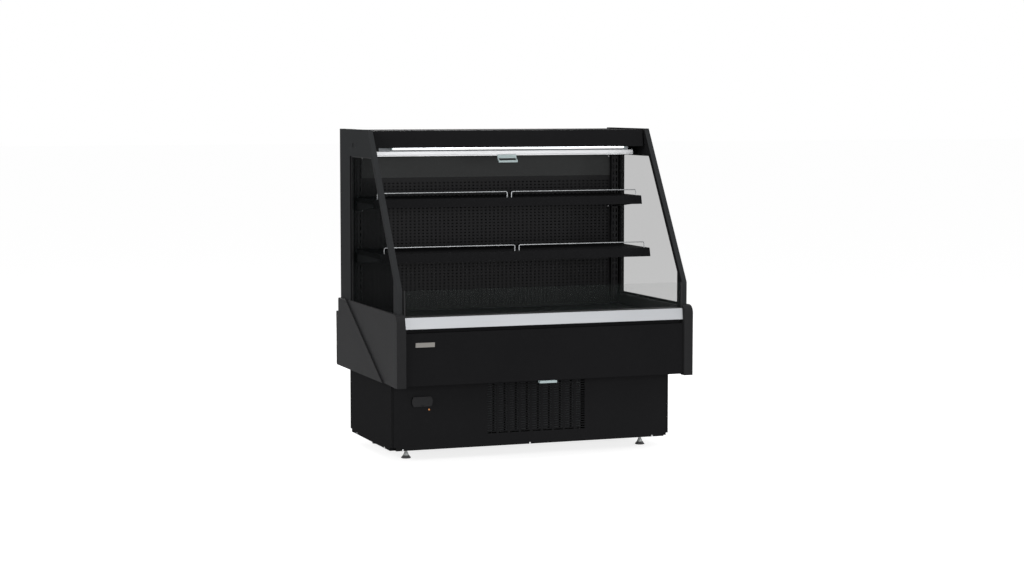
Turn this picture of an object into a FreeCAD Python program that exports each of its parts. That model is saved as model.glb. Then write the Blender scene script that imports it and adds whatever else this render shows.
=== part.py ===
import FreeCAD, Part
import math
import os

# Open multideck display fridge, self-contained, on levelling feet.
# Millimetres. +Z up, front towards -Y, +X to the right of someone facing the front.
# Origin on the floor, at the middle of the overall width and depth.

Vector = FreeCAD.Vector

# ---------------------------------------------------------------- driving sizes
# Overall box
overall_width = 1283.0
overall_depth = 874.0
overall_height = 1336.0

# Stock and clearances
sheet = 1.5                  # folded sheet steel
seat_gap = 0.4               # between pieces that sit next to each other
loose_gap = 1.0              # round pieces that are taken out by hand
running_gap = 0.05           # radial, shafts and pins that turn or slide
wood_screw_head = 4.2        # screw head radius
screw_head_height = 2.4

# End bumpers and end frames
bumper_nose_width = 39.0     # seen from the front
bumper_cover = 13.0          # cover plate over the end frame's outer face
bumper_bottom_z = 322.0
bumper_top_z = 614.0
bumper_corner = 35.0         # front top corner, seen from the side
bumper_rear_corner = 8.0
bumper_edge = 2.5
bumper_rear_step = 30.0      # upper rear part stands this far short of the rear
bumper_step_z = 555.0
crease_depth = 7.5           # how deep the sloping facet is pressed in
crease_foot_reach = 199.0    # crease line: from its foot, low, this far from the front ...
crease_head_reach = 140.0    # ... to its head, high, this far from the rear
crease_fade = 40.0           # the facet runs out this far from the front
nose_scoop_width = 7.0       # hollow in the nose's inner edge above the front panel
nose_scoop_reach = 20.0      # from the front back, at the top
frame_thickness = 22.0
frame_inset_front = 37.0     # end frame's vertical front edge behind the bumper's
frame_inset_rear = 30.0
frame_bottom_z = 330.0
canopy_depth = 412.0         # end frame's top edge
kink_z = 707.0
window_rear_inset = 180.0    # from the overall rear
window_top_drop = 113.0      # from the overall top
window_sill_z = 602.0
window_bar = 25.0            # sloping bar in front of the window, along Y
window_post = 50.0           # vertical post below the bar, along Y
vent_slot_inset = 227.0      # from the overall rear
vent_slot_drop = 66.0        # from the overall top
vent_slot_width = 9.0
vent_slot_height = 19.0
vent_slot_depth = 8.0

# Glass
glass_thickness = 6.0
glass_rim = 4.0              # rubber between the glass and its frame
front_glass_top_z = 707.0
front_glass_lead = 7.0       # pane in front of the end frame

# Insulated tub and rear wall
tub_bottom_z = 330.0
tub_inset_rear = 5.0
tub_step_z = 553.0
floor_insulation = 41.0
front_insulation = 43.5
wall_insulation = 48.0
roof_insulation = 20.0
duct_depth = 115.5           # rear wall's outer face to the back panel
back_panel_split_drop = 107.0  # below the uprights' top; perforated below it, plain above
ledge_z = 540.0              # what the deck pans and the air grille stand on
ledge_width = 13.0           # in front of the tub's wall
rear_ledge_width = 52.0      # in front of the back panel

# Nose and front panel
nose_top_z = 600.0
nose_height = 46.0
nose_top_inset = 22.0        # from the overall front
nose_bottom_inset = 15.0
nose_wall = 2.0
nose_cap_width = 65.0        # from the face back over the tub's wall
front_panel_inset = 11.0     # from the overall front
front_panel_bottom_z = 328.0
front_panel_top_z = 538.0
front_panel_return = 30.0
nameplate_inset = 81.1       # its middle from the panel's left end
nameplate_z = 491.5
nameplate_width = 80.0
nameplate_height = 18.5
nameplate_thickness = 1.2

# Machine base
base_side_inset = 30.5       # from the overall side
base_front_inset = 179.0
base_rear_inset = 105.0
base_bottom_z = 44.0
panel_corner = 10.0          # side panels wrap this far onto front and rear
corner_notch_width = 20.0
corner_notch_height = 13.0
rail_height = 30.0
post_size = 30.0
screw_inset = 61.0           # outer screws from the base's side
side_screw_inset = 96.0      # side screws from the base's front and rear
screw_z = 47.0
screw_row_shift = -12.0      # the front and rear rows' middle screw from the part's middle
screw_notch = 9.0

# Air grille pressed in the base's front panel
grille_centre_x = 16.0
grille_columns = 9
grille_column_pitch = 48.75
grille_rows = 21
grille_row_pitch = 10.0
grille_bottom_z = 96.0
grille_slot_length = 40.0
grille_slot_height = 5.0

# Levelling feet
foot_side_inset = 90.0       # from the base's side
foot_front_inset = 90.0
foot_rear_inset = 92.0
foot_pad_radius = 20.0
foot_pad_height = 4.0
foot_cone_height = 22.0
foot_neck_radius = 6.5
foot_neck_height = 7.0
foot_stud_radius = 5.0
foot_stud_top_z = 72.0
foot_boss_radius = 13.0
foot_boss_height = 20.0

# Deck and its air grille
deck_z = 560.0
deck_front_inset = 152.0     # from the overall front
deck_rear_gap = 3.0          # to the uprights
deck_pan_count = 2
return_grille_z = 567.0
return_slot_count = 24
return_slot_length = 36.0
return_slot_width = 8.0
bridge_width = 85.0          # flange under the deck's and the air grille's edges

# Shelves
shelf_end_gap = 6.1
shelf_skirt = 20.0
lip_height = 36.0
lip_lean = 9.0               # the lip's foot stands this far forward
lip_wall = 2.0
lip_return = 8.0
top_shelf_drop = 186.0       # below the uprights' top
top_shelf_reach = 282.0      # in front of the back panel
middle_shelf_lift = 25.0     # above half way between the deck and the top shelf
middle_shelf_reach = 374.0
bracket_thickness = 3.0
bracket_rear_depth = 50.0
bracket_front_depth = 32.0
bracket_flange = 16.0
bracket_front_gap = 14.0
shelf_rear_gap = 3.0

# Slotted uprights
upright_width = 31.0
upright_depth = 22.0
upright_wall = 2.0
upright_bottom_z = 545.0
upright_top_drop = 101.0     # from the overall top
upright_outer_gap = 1.5
upright_slot_pitch = 27.5
upright_slot_height = 18.0
upright_slot_width = 5.0
upright_slot_spacing = 15.0
hook_reach = 8.0
hook_height = 9.0

# Wire product stops
wire_radius = 2.0
stop_height = 25.0
stop_setback = 14.0
stop_centre_gap = 9.5        # from the middle of the shelf
stop_end_inset = 20.0        # from the shelf's end
stop_bend = 7.0
stop_leg = 9.0               # below the shelf's top

# Canopy, lamp and air outlet
canopy_drop = 4.5            # canopy top below the end frames' top
header_end_gap = 6.1
header_height = 70.5
header_setback = 7.0         # behind the end frame's top corner
header_lean = 14.0           # its foot stands this far forward
header_flange_depth = 62.0
canopy_tab = 30.0
lamp_end_gap = 82.1
lamp_setback = 18.0          # behind the header's foot
lamp_width = 18.0
lamp_height = 8.0
outlet_setback = 125.0       # behind the end frame's top corner
outlet_depth = 66.0
outlet_height = 12.0
outlet_drop = 78.0           # from the overall top
outlet_columns = 60
outlet_rows = 4
outlet_cell_wall = 2.0

# Night curtain
roll_setback = 97.0          # behind the end frame's top corner
roll_drop = 40.0             # from the overall top
roll_radius = 23.0
roll_end_gap = 44.1
axle_radius = 5.0
axle_overhang = 22.0
roll_bracket_gap = 8.0
roll_bracket_width = 26.0
curtain_bar_end_gap = 26.1
curtain_bar_setback = 66.0   # behind the end frame's top corner
curtain_bar_depth = 15.0
curtain_bar_drop = 111.0     # its underside, from the overall top
curtain_bar_height = 20.0
curtain_bar_groove = 4.0
handle_half_width = 42.5
handle_wall = 4.0
handle_plate_height = 16.0
handle_drop = 33.0
handle_kick = 16.0           # the grip stands this far in front of the plate
handle_grip = 9.0
catch_half_width = 37.0
catch_drop = 10.5            # below the front panel
catch_lip_height = 9.5
catch_gap = 7.5              # between the lip and the panel's face
catch_reach = 14.0           # back under the panel
catch_wall = 2.5

# Cooling under the deck
evaporator_fan_x = 300.0
evaporator_fan_z = 457.0
evaporator_fan_radius = 76.0
evaporator_panel_setback = 50.0  # behind the deck's front
fan_ring_gap = 6.0
evaporator_end_gap = 86.1
evaporator_front_gap = 85.0
evaporator_rear_gap = 306.0  # to the liner's rear wall
evaporator_bottom_z = 388.0
evaporator_height = 130.0
coil_foot = 14.0
evaporator_columns = 4
evaporator_rows = 3
evaporator_fin_pitch = 40.0

# Cooling in the base
condenser_half_width = 200.0
condenser_setback = 25.0     # behind the base's front
condenser_depth = 44.0
condenser_bottom_z = 60.0
condenser_height = 246.0
condenser_columns = 2
condenser_rows = 6
condenser_fin_pitch = 16.0
condenser_fan_radius = 100.0
shroud_depth = 46.0
fan_hub_radius = 26.0
fan_hub_depth = 20.0
fan_blade_count = 5
fan_blade_thickness = 2.0
fan_blade_pitch = 28.0       # degrees
motor_radius = 34.0
motor_length = 46.0
motor_strap = 18.0
motor_gap = 10.0
shaft_radius = 4.0
shaft_seat = 20.0
compressor_inset = 281.0     # from the base's side
compressor_lead = 10.0       # in front of the pipe chase
compressor_radius = 86.0
compressor_foot_z = 66.0
compressor_height = 186.0
compressor_plate = 210.0
grommet_radius = 13.0
grommet_pitch = 160.0
pipe_radius = 4.8
pipe_bend = 14.0
pipe_chase_inset = 61.1
pipe_chase_setback = 70.0    # behind the cold coil
pipe_chase_radius = 22.0
pipe_spacing = 18.0
electrical_box_inset = 131.0  # its middle from the base's side
electrical_box_width = 180.0
electrical_box_setback = 118.0
electrical_box_depth = 110.0
electrical_box_height = 150.0

# Controls and supply inlet
controller_inset = 129.5     # its middle from the base's side
controller_z = 242.3
controller_width = 66.0
controller_height = 33.0
controller_depth = 58.0
cover_width = 87.0
cover_height = 40.0
cover_wall = 3.0
cover_corner = 3.0
cover_bulge = 7.0            # its ends curve out by this much
cover_top_reach = 3.2        # from the hinge axis to the cover's top edge
cover_knuckle_radius = 2.2
cover_pin_radius = 1.2
cover_ear = 4.0
indicator_offset = 30.5      # to the right of the controller's middle
indicator_z = 208.2
indicator_radius = 4.6
indicator_depth = 22.0
indicator_proud = 3.0
gland_inset = 91.0           # from the base's side
gland_z = 110.0
gland_radius = 13.0
gland_thread_radius = 10.0
gland_bore = 5.0
gland_length = 22.0

# ---------------------------------------------------------------- worked-out places
# Overall faces, end frames and bumpers
front_y = -overall_depth / 2
rear_y = overall_depth / 2
bumper_outer_x = overall_width / 2
frame_outer_x = bumper_outer_x - bumper_cover
frame_inner_x = frame_outer_x - frame_thickness
bumper_inner_x = bumper_outer_x - bumper_nose_width
crease_foot_y = front_y + crease_foot_reach
crease_head_y = rear_y - crease_head_reach
frame_front_y = front_y + frame_inset_front
frame_rear_y = rear_y - frame_inset_rear
frame_top_front_y = frame_rear_y - canopy_depth
frame_slope = (frame_top_front_y - frame_front_y) / (overall_height - kink_z)
window_rear_y = rear_y - window_rear_inset
window_top_z = overall_height - window_top_drop
vent_slot_y = rear_y - vent_slot_inset
vent_slot_z = overall_height - vent_slot_drop
body_half = frame_inner_x - seat_gap
nose_half = bumper_inner_x - seat_gap

# Cabinet, nose and front panel
front_glass_y = frame_front_y - front_glass_lead
nose_top_y = front_y + nose_top_inset
nose_bottom_y = front_y + nose_bottom_inset
nose_cap_rear_y = nose_top_y + nose_cap_width
front_panel_y = front_y + front_panel_inset
nameplate_x = nameplate_inset - nose_half
tub_front_y = frame_front_y
tub_rear_y = rear_y - tub_inset_rear
wall_rear_y = frame_rear_y - sheet
back_panel_y = wall_rear_y - duct_depth
canopy_top_z = overall_height - canopy_drop
foam_top_z = canopy_top_z - sheet
liner_floor_z = tub_bottom_z + sheet + floor_insulation
liner_front_y = tub_front_y + sheet + front_insulation
liner_wall_y = wall_rear_y - sheet - wall_insulation
ledge_front_y = liner_front_y + sheet

# Deck, uprights and shelves
upright_x = body_half - sheet - upright_outer_gap - upright_width / 2
upright_front_y = back_panel_y - upright_depth
upright_top_z = overall_height - upright_top_drop
back_panel_split_z = upright_top_z - back_panel_split_drop
deck_half = body_half - sheet - loose_gap
deck_front_y = front_y + deck_front_inset
deck_rear_y = upright_front_y - deck_rear_gap
return_grille_front_y = ledge_front_y + loose_gap
shelf_half_width = body_half - shelf_end_gap
stop_end_x = shelf_half_width - stop_end_inset
top_shelf_z = upright_top_z - top_shelf_drop
top_shelf_front_y = back_panel_y - top_shelf_reach
middle_shelf_z = (deck_z + top_shelf_z) / 2 + middle_shelf_lift
middle_shelf_front_y = back_panel_y - middle_shelf_reach

# Canopy and night curtain
header_half_width = body_half - header_end_gap
header_top_y = frame_top_front_y + header_setback
header_bottom_y = header_top_y - header_lean
header_bottom_z = canopy_top_z - header_height
header_flange_rear_y = header_bottom_y + header_flange_depth
lamp_half_length = body_half - lamp_end_gap
lamp_front_y = header_bottom_y + lamp_setback
outlet_front_y = frame_top_front_y + outlet_setback
outlet_bottom_z = overall_height - outlet_drop
roll_y = frame_top_front_y + roll_setback
roll_z = overall_height - roll_drop
roll_half_length = body_half - roll_end_gap
curtain_bar_half_length = body_half - curtain_bar_end_gap
curtain_bar_y = frame_top_front_y + curtain_bar_setback
curtain_bar_bottom_z = overall_height - curtain_bar_drop
curtain_bar_top_z = curtain_bar_bottom_z + curtain_bar_height

# Machine base and feet
base_half = bumper_outer_x - base_side_inset
base_front_y = front_y + base_front_inset
base_rear_y = rear_y - base_rear_inset
screw_pitch = base_half - screw_inset
side_screw_pitch = base_rear_y - base_front_y - 2 * side_screw_inset
foot_x = base_half - foot_side_inset
foot_front_y = base_front_y + foot_front_inset
foot_rear_y = base_rear_y - foot_rear_inset

# Cooling, controls and supply inlet
evaporator_panel_y = deck_front_y + evaporator_panel_setback
evaporator_half_length = body_half - evaporator_end_gap
evaporator_front_y = evaporator_panel_y + evaporator_front_gap
evaporator_rear_y = liner_wall_y - evaporator_rear_gap
evaporator_depth = evaporator_rear_y - evaporator_front_y
pipe_chase_x = body_half - pipe_chase_inset
pipe_chase_y = evaporator_rear_y + pipe_chase_setback
condenser_x = grille_centre_x
condenser_z = condenser_bottom_z + condenser_height / 2
condenser_front_y = base_front_y + condenser_setback
compressor_x = base_half - compressor_inset
compressor_y = pipe_chase_y - compressor_lead
electrical_box_x = electrical_box_inset - base_half
electrical_box_front_y = base_front_y + electrical_box_setback
controller_x = controller_inset - base_half
indicator_x = controller_x + indicator_offset
gland_x = base_half - gland_inset


# ---------------------------------------------------------------- shape helpers
def box(x_range, y_range, z_range):
    """A block between three pairs of coordinates, given in either order."""
    low = Vector(min(x_range), min(y_range), min(z_range))
    high = Vector(max(x_range), max(y_range), max(z_range))
    size = high - low
    return Part.makeBox(size.x, size.y, size.z, low)


def rod(start, direction, radius, length):
    """A cylinder from start along direction."""
    return Part.makeCylinder(radius, length, Vector(*start), Vector(*direction))


def prism_x(outline, x_range):
    """Extrude a closed (y, z) outline along X."""
    points = [Vector(min(x_range), y, z) for y, z in outline]
    face = Part.Face(Part.makePolygon(points + points[:1]))
    return face.extrude(Vector(max(x_range) - min(x_range), 0, 0))


def prism_y(outline, y_range):
    """Extrude a closed (x, z) outline along Y."""
    points = [Vector(x, min(y_range), z) for x, z in outline]
    face = Part.Face(Part.makePolygon(points + points[:1]))
    return face.extrude(Vector(0, max(y_range) - min(y_range), 0))


def prism_z(outline, z_range):
    """Extrude a closed (x, y) outline along Z."""
    points = [Vector(x, y, min(z_range)) for x, y in outline]
    face = Part.Face(Part.makePolygon(points + points[:1]))
    return face.extrude(Vector(0, 0, max(z_range) - min(z_range)))


def join(shapes):
    """One solid out of touching shapes."""
    first, rest = shapes[0], shapes[1:]
    return first.fuse(rest).removeSplitter() if rest else first


def group(shapes):
    """Separate solids kept together in one node."""
    return Part.makeCompound(shapes)


def mirrored(shape):
    """The same piece for the other end."""
    return shape.mirror(Vector(0, 0, 0), Vector(1, 0, 0))


def both_ends(shape):
    """The piece and its mirror image."""
    return [shape, mirrored(shape)]


def centred(middle, count, pitch):
    """Evenly spaced places about a middle."""
    return [middle + (index - (count - 1) / 2) * pitch for index in range(count)]


def rounded_path(points, bend):
    """A wire through points with every inner corner rounded."""
    points = [Vector(*point) for point in points]
    edges = []
    start = points[0]
    for corner, after in zip(points[1:-1], points[2:]):
        into = (corner - start).normalize()
        out = (after - corner).normalize()
        half_turn = into.getAngle(out) / 2
        reach = bend * math.tan(half_turn)
        first = corner - into * reach
        last = corner + out * reach
        middle_way = (out - into).normalize()
        middle = corner + middle_way * (bend / math.cos(half_turn) - bend)
        edges.append(Part.makeLine(start, first))
        edges.append(Part.Arc(first, middle, last).toShape())
        start = last
    edges.append(Part.makeLine(start, points[-1]))
    return Part.Wire(edges)


def tube(points, radius, bend):
    """A round wire or pipe that follows a path."""
    path = rounded_path(points, bend)
    heading = Vector(*points[1]) - Vector(*points[0])
    ring = Part.Wire(Part.makeCircle(radius, Vector(*points[0]), heading))
    return path.makePipeShell([ring], True, False)


def round_edges(shape, radius, wanted):
    """Fillet the edges that the test picks."""
    return shape.makeFillet(radius, [edge for edge in shape.Edges if wanted(edge)])


def runs_along(axis, test=lambda middle: True):
    """A test for straight edges along one axis whose middle passes a second test."""
    def wanted(edge):
        if len(edge.Vertexes) != 2:
            return False
        run = edge.Vertexes[1].Point - edge.Vertexes[0].Point
        along = abs(getattr(run, axis))
        return along > 0.999 * run.Length > 0 and test(edge.CenterOfMass)
    return wanted


def save(name, shape):
    """Write one named sub-part."""
    shape.exportStep("parts/" + name + ".step")


# ---------------------------------------------------------------- end bumpers and frames
def right_bumper():
    """Cover plate over the end frame with a full-width nose in front of it."""
    outline = [
        (front_y, bumper_bottom_z),
        (rear_y, bumper_bottom_z),
        (rear_y, bumper_step_z),
        (rear_y - bumper_rear_step, bumper_step_z),
        (rear_y - bumper_rear_step, bumper_top_z),
        (front_y, bumper_top_z),
    ]
    plate = prism_x(outline, (frame_outer_x, bumper_outer_x))
    nose = box((bumper_inner_x, frame_outer_x), (front_y, frame_front_y),
               (bumper_bottom_z, bumper_top_z))
    bumper = join([plate, nose])
    bumper = round_edges(
        bumper, bumper_corner,
        runs_along("x", lambda middle: middle.y < front_y + seat_gap and middle.z > bumper_top_z - seat_gap))
    bumper = round_edges(bumper, bumper_rear_corner, runs_along("x", on_bumper_rear))
    bumper = round_edges(bumper, bumper_edge, on_bumper_front)
    return bumper.cut(facet_cutter()).cut(nose_scoop_cutter())


def on_bumper_rear(middle):
    """Whether a place is one of the bumper's three outer corners at the rear, seen from the side."""
    corners = [(rear_y, bumper_bottom_z), (rear_y, bumper_step_z), (rear_y - bumper_rear_step, bumper_top_z)]
    return any(math.hypot(middle.y - y, middle.z - z) < seat_gap for y, z in corners)


def on_bumper_front(edge):
    """The long edges round the bumper's front, from its foot over the rounded corner."""
    middle = edge.CenterOfMass
    side_on = abs(edge.Vertexes[0].X - edge.Vertexes[-1].X) < seat_gap
    near_front = middle.y < front_y + bumper_corner
    return side_on and near_front and middle.z > bumper_bottom_z + seat_gap and len(edge.Vertexes) == 2


def facet_cutter():
    """The sloping pressed facet: deepest along the crease, fading out to the front."""
    foot = Vector(bumper_outer_x, crease_foot_y, bumper_bottom_z)
    head = Vector(bumper_outer_x, crease_head_y, bumper_top_z)
    far_front = Vector(bumper_outer_x, front_y + crease_fade, bumper_top_z)
    far_foot = Vector(bumper_outer_x, front_y + crease_fade, bumper_bottom_z)
    deep = Vector(-crease_depth, 0, 0)
    proud = Vector(bumper_edge, 0, 0)
    lift = Vector(0, 0, bumper_edge)
    low = [foot - lift, far_foot - lift]
    high = [head + lift, far_front + lift]
    inner = [low[0] + deep, low[1], high[1], high[0] + deep]
    outer = [low[0] + proud, low[1] + proud, high[1] + proud, high[0] + proud]
    sides = [[inner[0], inner[1], inner[2]], [inner[0], inner[2], inner[3]],
             [outer[0], outer[2], outer[1]], [outer[0], outer[3], outer[2]],
             [inner[0], outer[0], outer[1]], [inner[0], outer[1], inner[1]],
             [inner[1], outer[1], outer[2]], [inner[1], outer[2], inner[2]],
             [inner[2], outer[2], outer[3]], [inner[2], outer[3], inner[3]],
             [inner[3], outer[3], outer[0]], [inner[3], outer[0], inner[0]]]
    faces = [Part.Face(Part.makePolygon(side + side[:1])) for side in sides]
    return Part.Solid(Part.Shell(faces))


def nose_scoop_cutter():
    """Hollow in the nose's inner edge: widest at the top, run out where the front panel begins."""
    low = Vector(bumper_inner_x, front_y, front_panel_top_z)
    corner = Vector(bumper_inner_x, front_y, bumper_top_z)
    outward = corner + Vector(nose_scoop_width, 0, 0)
    back = corner + Vector(0, nose_scoop_reach, 0)
    sides = [[low, outward, back], [corner, back, outward], [low, back, corner], [low, corner, outward]]
    faces = [Part.Face(Part.makePolygon(side + side[:1])) for side in sides]
    return Part.Solid(Part.Shell(faces))


def front_edge_y(z):
    """Where the end frame's sloping front edge is at height z."""
    return frame_front_y + (z - kink_z) * frame_slope


def window_outline(rim):
    """The end frame's window, drawn in by rim on every side."""
    slope_length = math.hypot(1, frame_slope)
    bar_y = window_bar + rim * slope_length
    post_y = frame_front_y + window_post + rim
    top_z = window_top_z - rim
    sill_z = window_sill_z + rim
    corner_z = kink_z + (post_y - frame_front_y - bar_y) / frame_slope
    return [
        (window_rear_y - rim, top_z),
        (front_edge_y(top_z) + bar_y, top_z),
        (post_y, corner_z),
        (post_y, sill_z),
        (window_rear_y - rim, sill_z),
    ]


def right_end_frame():
    """Foam-filled end wall with a sloping front edge and a glazed window."""
    outline = [
        (frame_rear_y, frame_bottom_z),
        (frame_rear_y, overall_height),
        (frame_top_front_y, overall_height),
        (frame_front_y, kink_z),
        (frame_front_y, frame_bottom_z),
    ]
    frame = prism_x(outline, (frame_inner_x, frame_outer_x))
    frame = frame.cut(prism_x(window_outline(0), (frame_inner_x, frame_outer_x)))
    slot = box((frame_outer_x - vent_slot_depth, frame_outer_x),
               (vent_slot_y - vent_slot_width / 2, vent_slot_y + vent_slot_width / 2),
               (vent_slot_z - vent_slot_height / 2, vent_slot_z + vent_slot_height / 2))
    return frame.cut(slot)


def right_side_glass():
    """Pane inside the window, at the middle of the frame's thickness."""
    middle = (frame_inner_x + frame_outer_x) / 2
    return prism_x(window_outline(glass_rim), (middle - glass_thickness / 2, middle + glass_thickness / 2))


def right_window_seal():
    """Rubber that holds the pane in the window."""
    middle = (frame_inner_x + frame_outer_x) / 2
    half = glass_thickness / 2 + sheet
    ring = prism_x(window_outline(0), (middle - half, middle + half))
    return ring.cut(prism_x(window_outline(glass_rim), (middle - half, middle + half)))


# ---------------------------------------------------------------- front glass, nose, front panel
def front_glass():
    """Low glass riser that stands on the nose."""
    half = nose_half - glass_rim
    glass = box((-half, half), (front_glass_y - glass_thickness / 2, front_glass_y + glass_thickness / 2),
                (nose_top_z, front_glass_top_z))
    return glass


def right_glass_end_seal():
    """Upright seal at the end of the front glass."""
    half = glass_thickness / 2 + sheet
    return box((nose_half - glass_rim, nose_half), (front_glass_y - half, front_glass_y + half),
               (nose_top_z, front_glass_top_z))


def nose_rail():
    """Extruded aluminium rail: leaning face, cap over the tub's wall, lower return."""
    bottom_z = nose_top_z - nose_height
    outline = [
        (nose_top_y, nose_top_z),
        (nose_bottom_y, bottom_z),
        (tub_front_y, bottom_z),
        (tub_front_y, bottom_z + nose_wall),
        (nose_bottom_y + nose_wall, bottom_z + nose_wall),
        (nose_top_y + nose_wall, nose_top_z - nose_wall),
        (nose_cap_rear_y, nose_top_z - nose_wall),
        (nose_cap_rear_y, nose_top_z),
    ]
    return prism_x(outline, (-nose_half, nose_half))


def upper_front_panel():
    """Folded front panel between the bumpers, over the machine base."""
    back_y = front_panel_y + sheet
    face = box((-nose_half, nose_half), (front_panel_y, back_y), (front_panel_bottom_z, front_panel_top_z))
    top = box((-nose_half, nose_half), (front_panel_y, tub_front_y),
              (front_panel_top_z - sheet, front_panel_top_z))
    foot = box((-nose_half, nose_half), (front_panel_y, front_panel_y + front_panel_return),
               (front_panel_bottom_z, front_panel_bottom_z + sheet))
    return join([face, top, foot])


def nameplate():
    """Blank plate with rounded corners."""
    plate = box((nameplate_x - nameplate_width / 2, nameplate_x + nameplate_width / 2),
                (front_panel_y - nameplate_thickness, front_panel_y),
                (nameplate_z - nameplate_height / 2, nameplate_z + nameplate_height / 2))
    return round_edges(plate, nameplate_thickness, runs_along("y"))


# ---------------------------------------------------------------- insulated cabinet
def cabinet_foam():
    """Floor, front, rear wall and roof insulation in one C-shaped run."""
    outline = [
        (tub_front_y + sheet, tub_bottom_z + sheet),
        (tub_rear_y - sheet, tub_bottom_z + sheet),
        (tub_rear_y - sheet, tub_step_z - sheet),
        (wall_rear_y - sheet, tub_step_z - sheet),
        (wall_rear_y - sheet, foam_top_z),
        (outlet_front_y, foam_top_z),
        (outlet_front_y, foam_top_z - roof_insulation),
        (liner_wall_y, foam_top_z - roof_insulation),
        (liner_wall_y, liner_floor_z),
        (liner_front_y, liner_floor_z),
        (liner_front_y, nose_top_z - nose_wall),
        (tub_front_y + sheet, nose_top_z - nose_wall),
    ]
    half = body_half - sheet - seat_gap
    return prism_x(outline, (-half, half)).cut(pipe_chase())


def pipe_chase():
    """Hole for the copper lines through the tub's floor."""
    return rod((pipe_chase_x, pipe_chase_y, tub_bottom_z - sheet), (0, 0, 1), pipe_chase_radius,
               floor_insulation + 4 * sheet)


def tub_shell():
    """Outer sheet of the tub: front, underside, rear and the step up to the rear wall."""
    outline = [
        (tub_front_y, nose_top_z - nose_wall),
        (tub_front_y, tub_bottom_z),
        (tub_rear_y, tub_bottom_z),
        (tub_rear_y, tub_step_z),
        (wall_rear_y, tub_step_z),
        (wall_rear_y, tub_step_z - sheet),
        (tub_rear_y - sheet, tub_step_z - sheet),
        (tub_rear_y - sheet, tub_bottom_z + sheet),
        (tub_front_y + sheet, tub_bottom_z + sheet),
        (tub_front_y + sheet, nose_top_z - nose_wall),
    ]
    return prism_x(outline, (-body_half, body_half)).cut(pipe_chase())


def rear_outer_panel():
    """Outer sheet of the rear wall."""
    return box((-body_half, body_half), (wall_rear_y - sheet, wall_rear_y), (tub_step_z, foam_top_z))


def cabinet_liner():
    """Inner sheet: front, floor, rear wall, roof, the two end sheets and the front ledge."""
    roof_z = foam_top_z - roof_insulation
    outline = [
        (liner_front_y, nose_top_z - nose_wall),
        (liner_front_y, liner_floor_z),
        (liner_wall_y, liner_floor_z),
        (liner_wall_y, roof_z),
        (outlet_front_y, roof_z),
        (outlet_front_y, roof_z - sheet),
        (liner_wall_y - sheet, roof_z - sheet),
        (liner_wall_y - sheet, liner_floor_z + sheet),
        (ledge_front_y, liner_floor_z + sheet),
        (ledge_front_y, ledge_z - sheet),
        (ledge_front_y + ledge_width, ledge_z - sheet),
        (ledge_front_y + ledge_width, ledge_z),
        (ledge_front_y, ledge_z),
        (ledge_front_y, nose_top_z - nose_wall),
    ]
    skin = prism_x(outline, (-body_half, body_half)).cut(pipe_chase())
    end = [
        (liner_front_y, liner_floor_z),
        (liner_wall_y - sheet, liner_floor_z),
        (liner_wall_y - sheet, window_sill_z),
        (nose_cap_rear_y, window_sill_z),
        (nose_cap_rear_y, nose_top_z),
        (liner_front_y, nose_top_z - nose_wall),
    ]
    right_end = prism_x(end, (body_half - sheet, body_half))
    return join([skin] + both_ends(right_end))


def perforated_back_panel():
    """Lower back panel with a flange that carries the deck pans' rear edge."""
    half = body_half - sheet - seat_gap
    face = box((-half, half), (back_panel_y, back_panel_y + sheet), (ledge_z - sheet, back_panel_split_z))
    flange = box((-half, half), (back_panel_y - rear_ledge_width, back_panel_y + sheet),
                 (ledge_z - sheet, ledge_z))
    return join([face, flange])


def upper_back_panel():
    """Plain upper back panel, folded forward under the air duct to the outlet."""
    top_z = outlet_bottom_z + sheet
    face = box((-body_half, body_half), (back_panel_y, back_panel_y + sheet), (back_panel_split_z, top_z))
    roof = box((-body_half, body_half), (outlet_front_y + outlet_depth, back_panel_y + sheet),
               (outlet_bottom_z, top_z))
    return join([face, roof])


# ---------------------------------------------------------------- uprights and shelves
def upright_slot_heights():
    """Middles of the slots, from the foot of the upright up."""
    count = int((upright_top_z - upright_bottom_z) / upright_slot_pitch)
    middle = (upright_top_z + upright_bottom_z) / 2
    return centred(middle, count, upright_slot_pitch)


def right_upright():
    """Channel with two columns of slots, open towards the back panel."""
    left = upright_x - upright_width / 2
    right = upright_x + upright_width / 2
    channel = box((left, right), (upright_front_y, back_panel_y), (upright_bottom_z, upright_top_z))
    hollow = box((left + upright_wall, right - upright_wall), (upright_front_y + upright_wall, back_panel_y),
                 (upright_bottom_z, upright_top_z))
    slots = []
    for x in centred(upright_x, 2, upright_slot_spacing):
        for z in upright_slot_heights():
            slots.append(box((x - upright_slot_width / 2, x + upright_slot_width / 2),
                             (upright_front_y, upright_front_y + upright_wall),
                             (z - upright_slot_height / 2, z + upright_slot_height / 2)))
    return channel.cut([hollow] + slots)


def hook_z(shelf_z):
    """The upright slot nearest below the shelf's top."""
    return max(z for z in upright_slot_heights() if z + hook_height < shelf_z - sheet)


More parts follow.
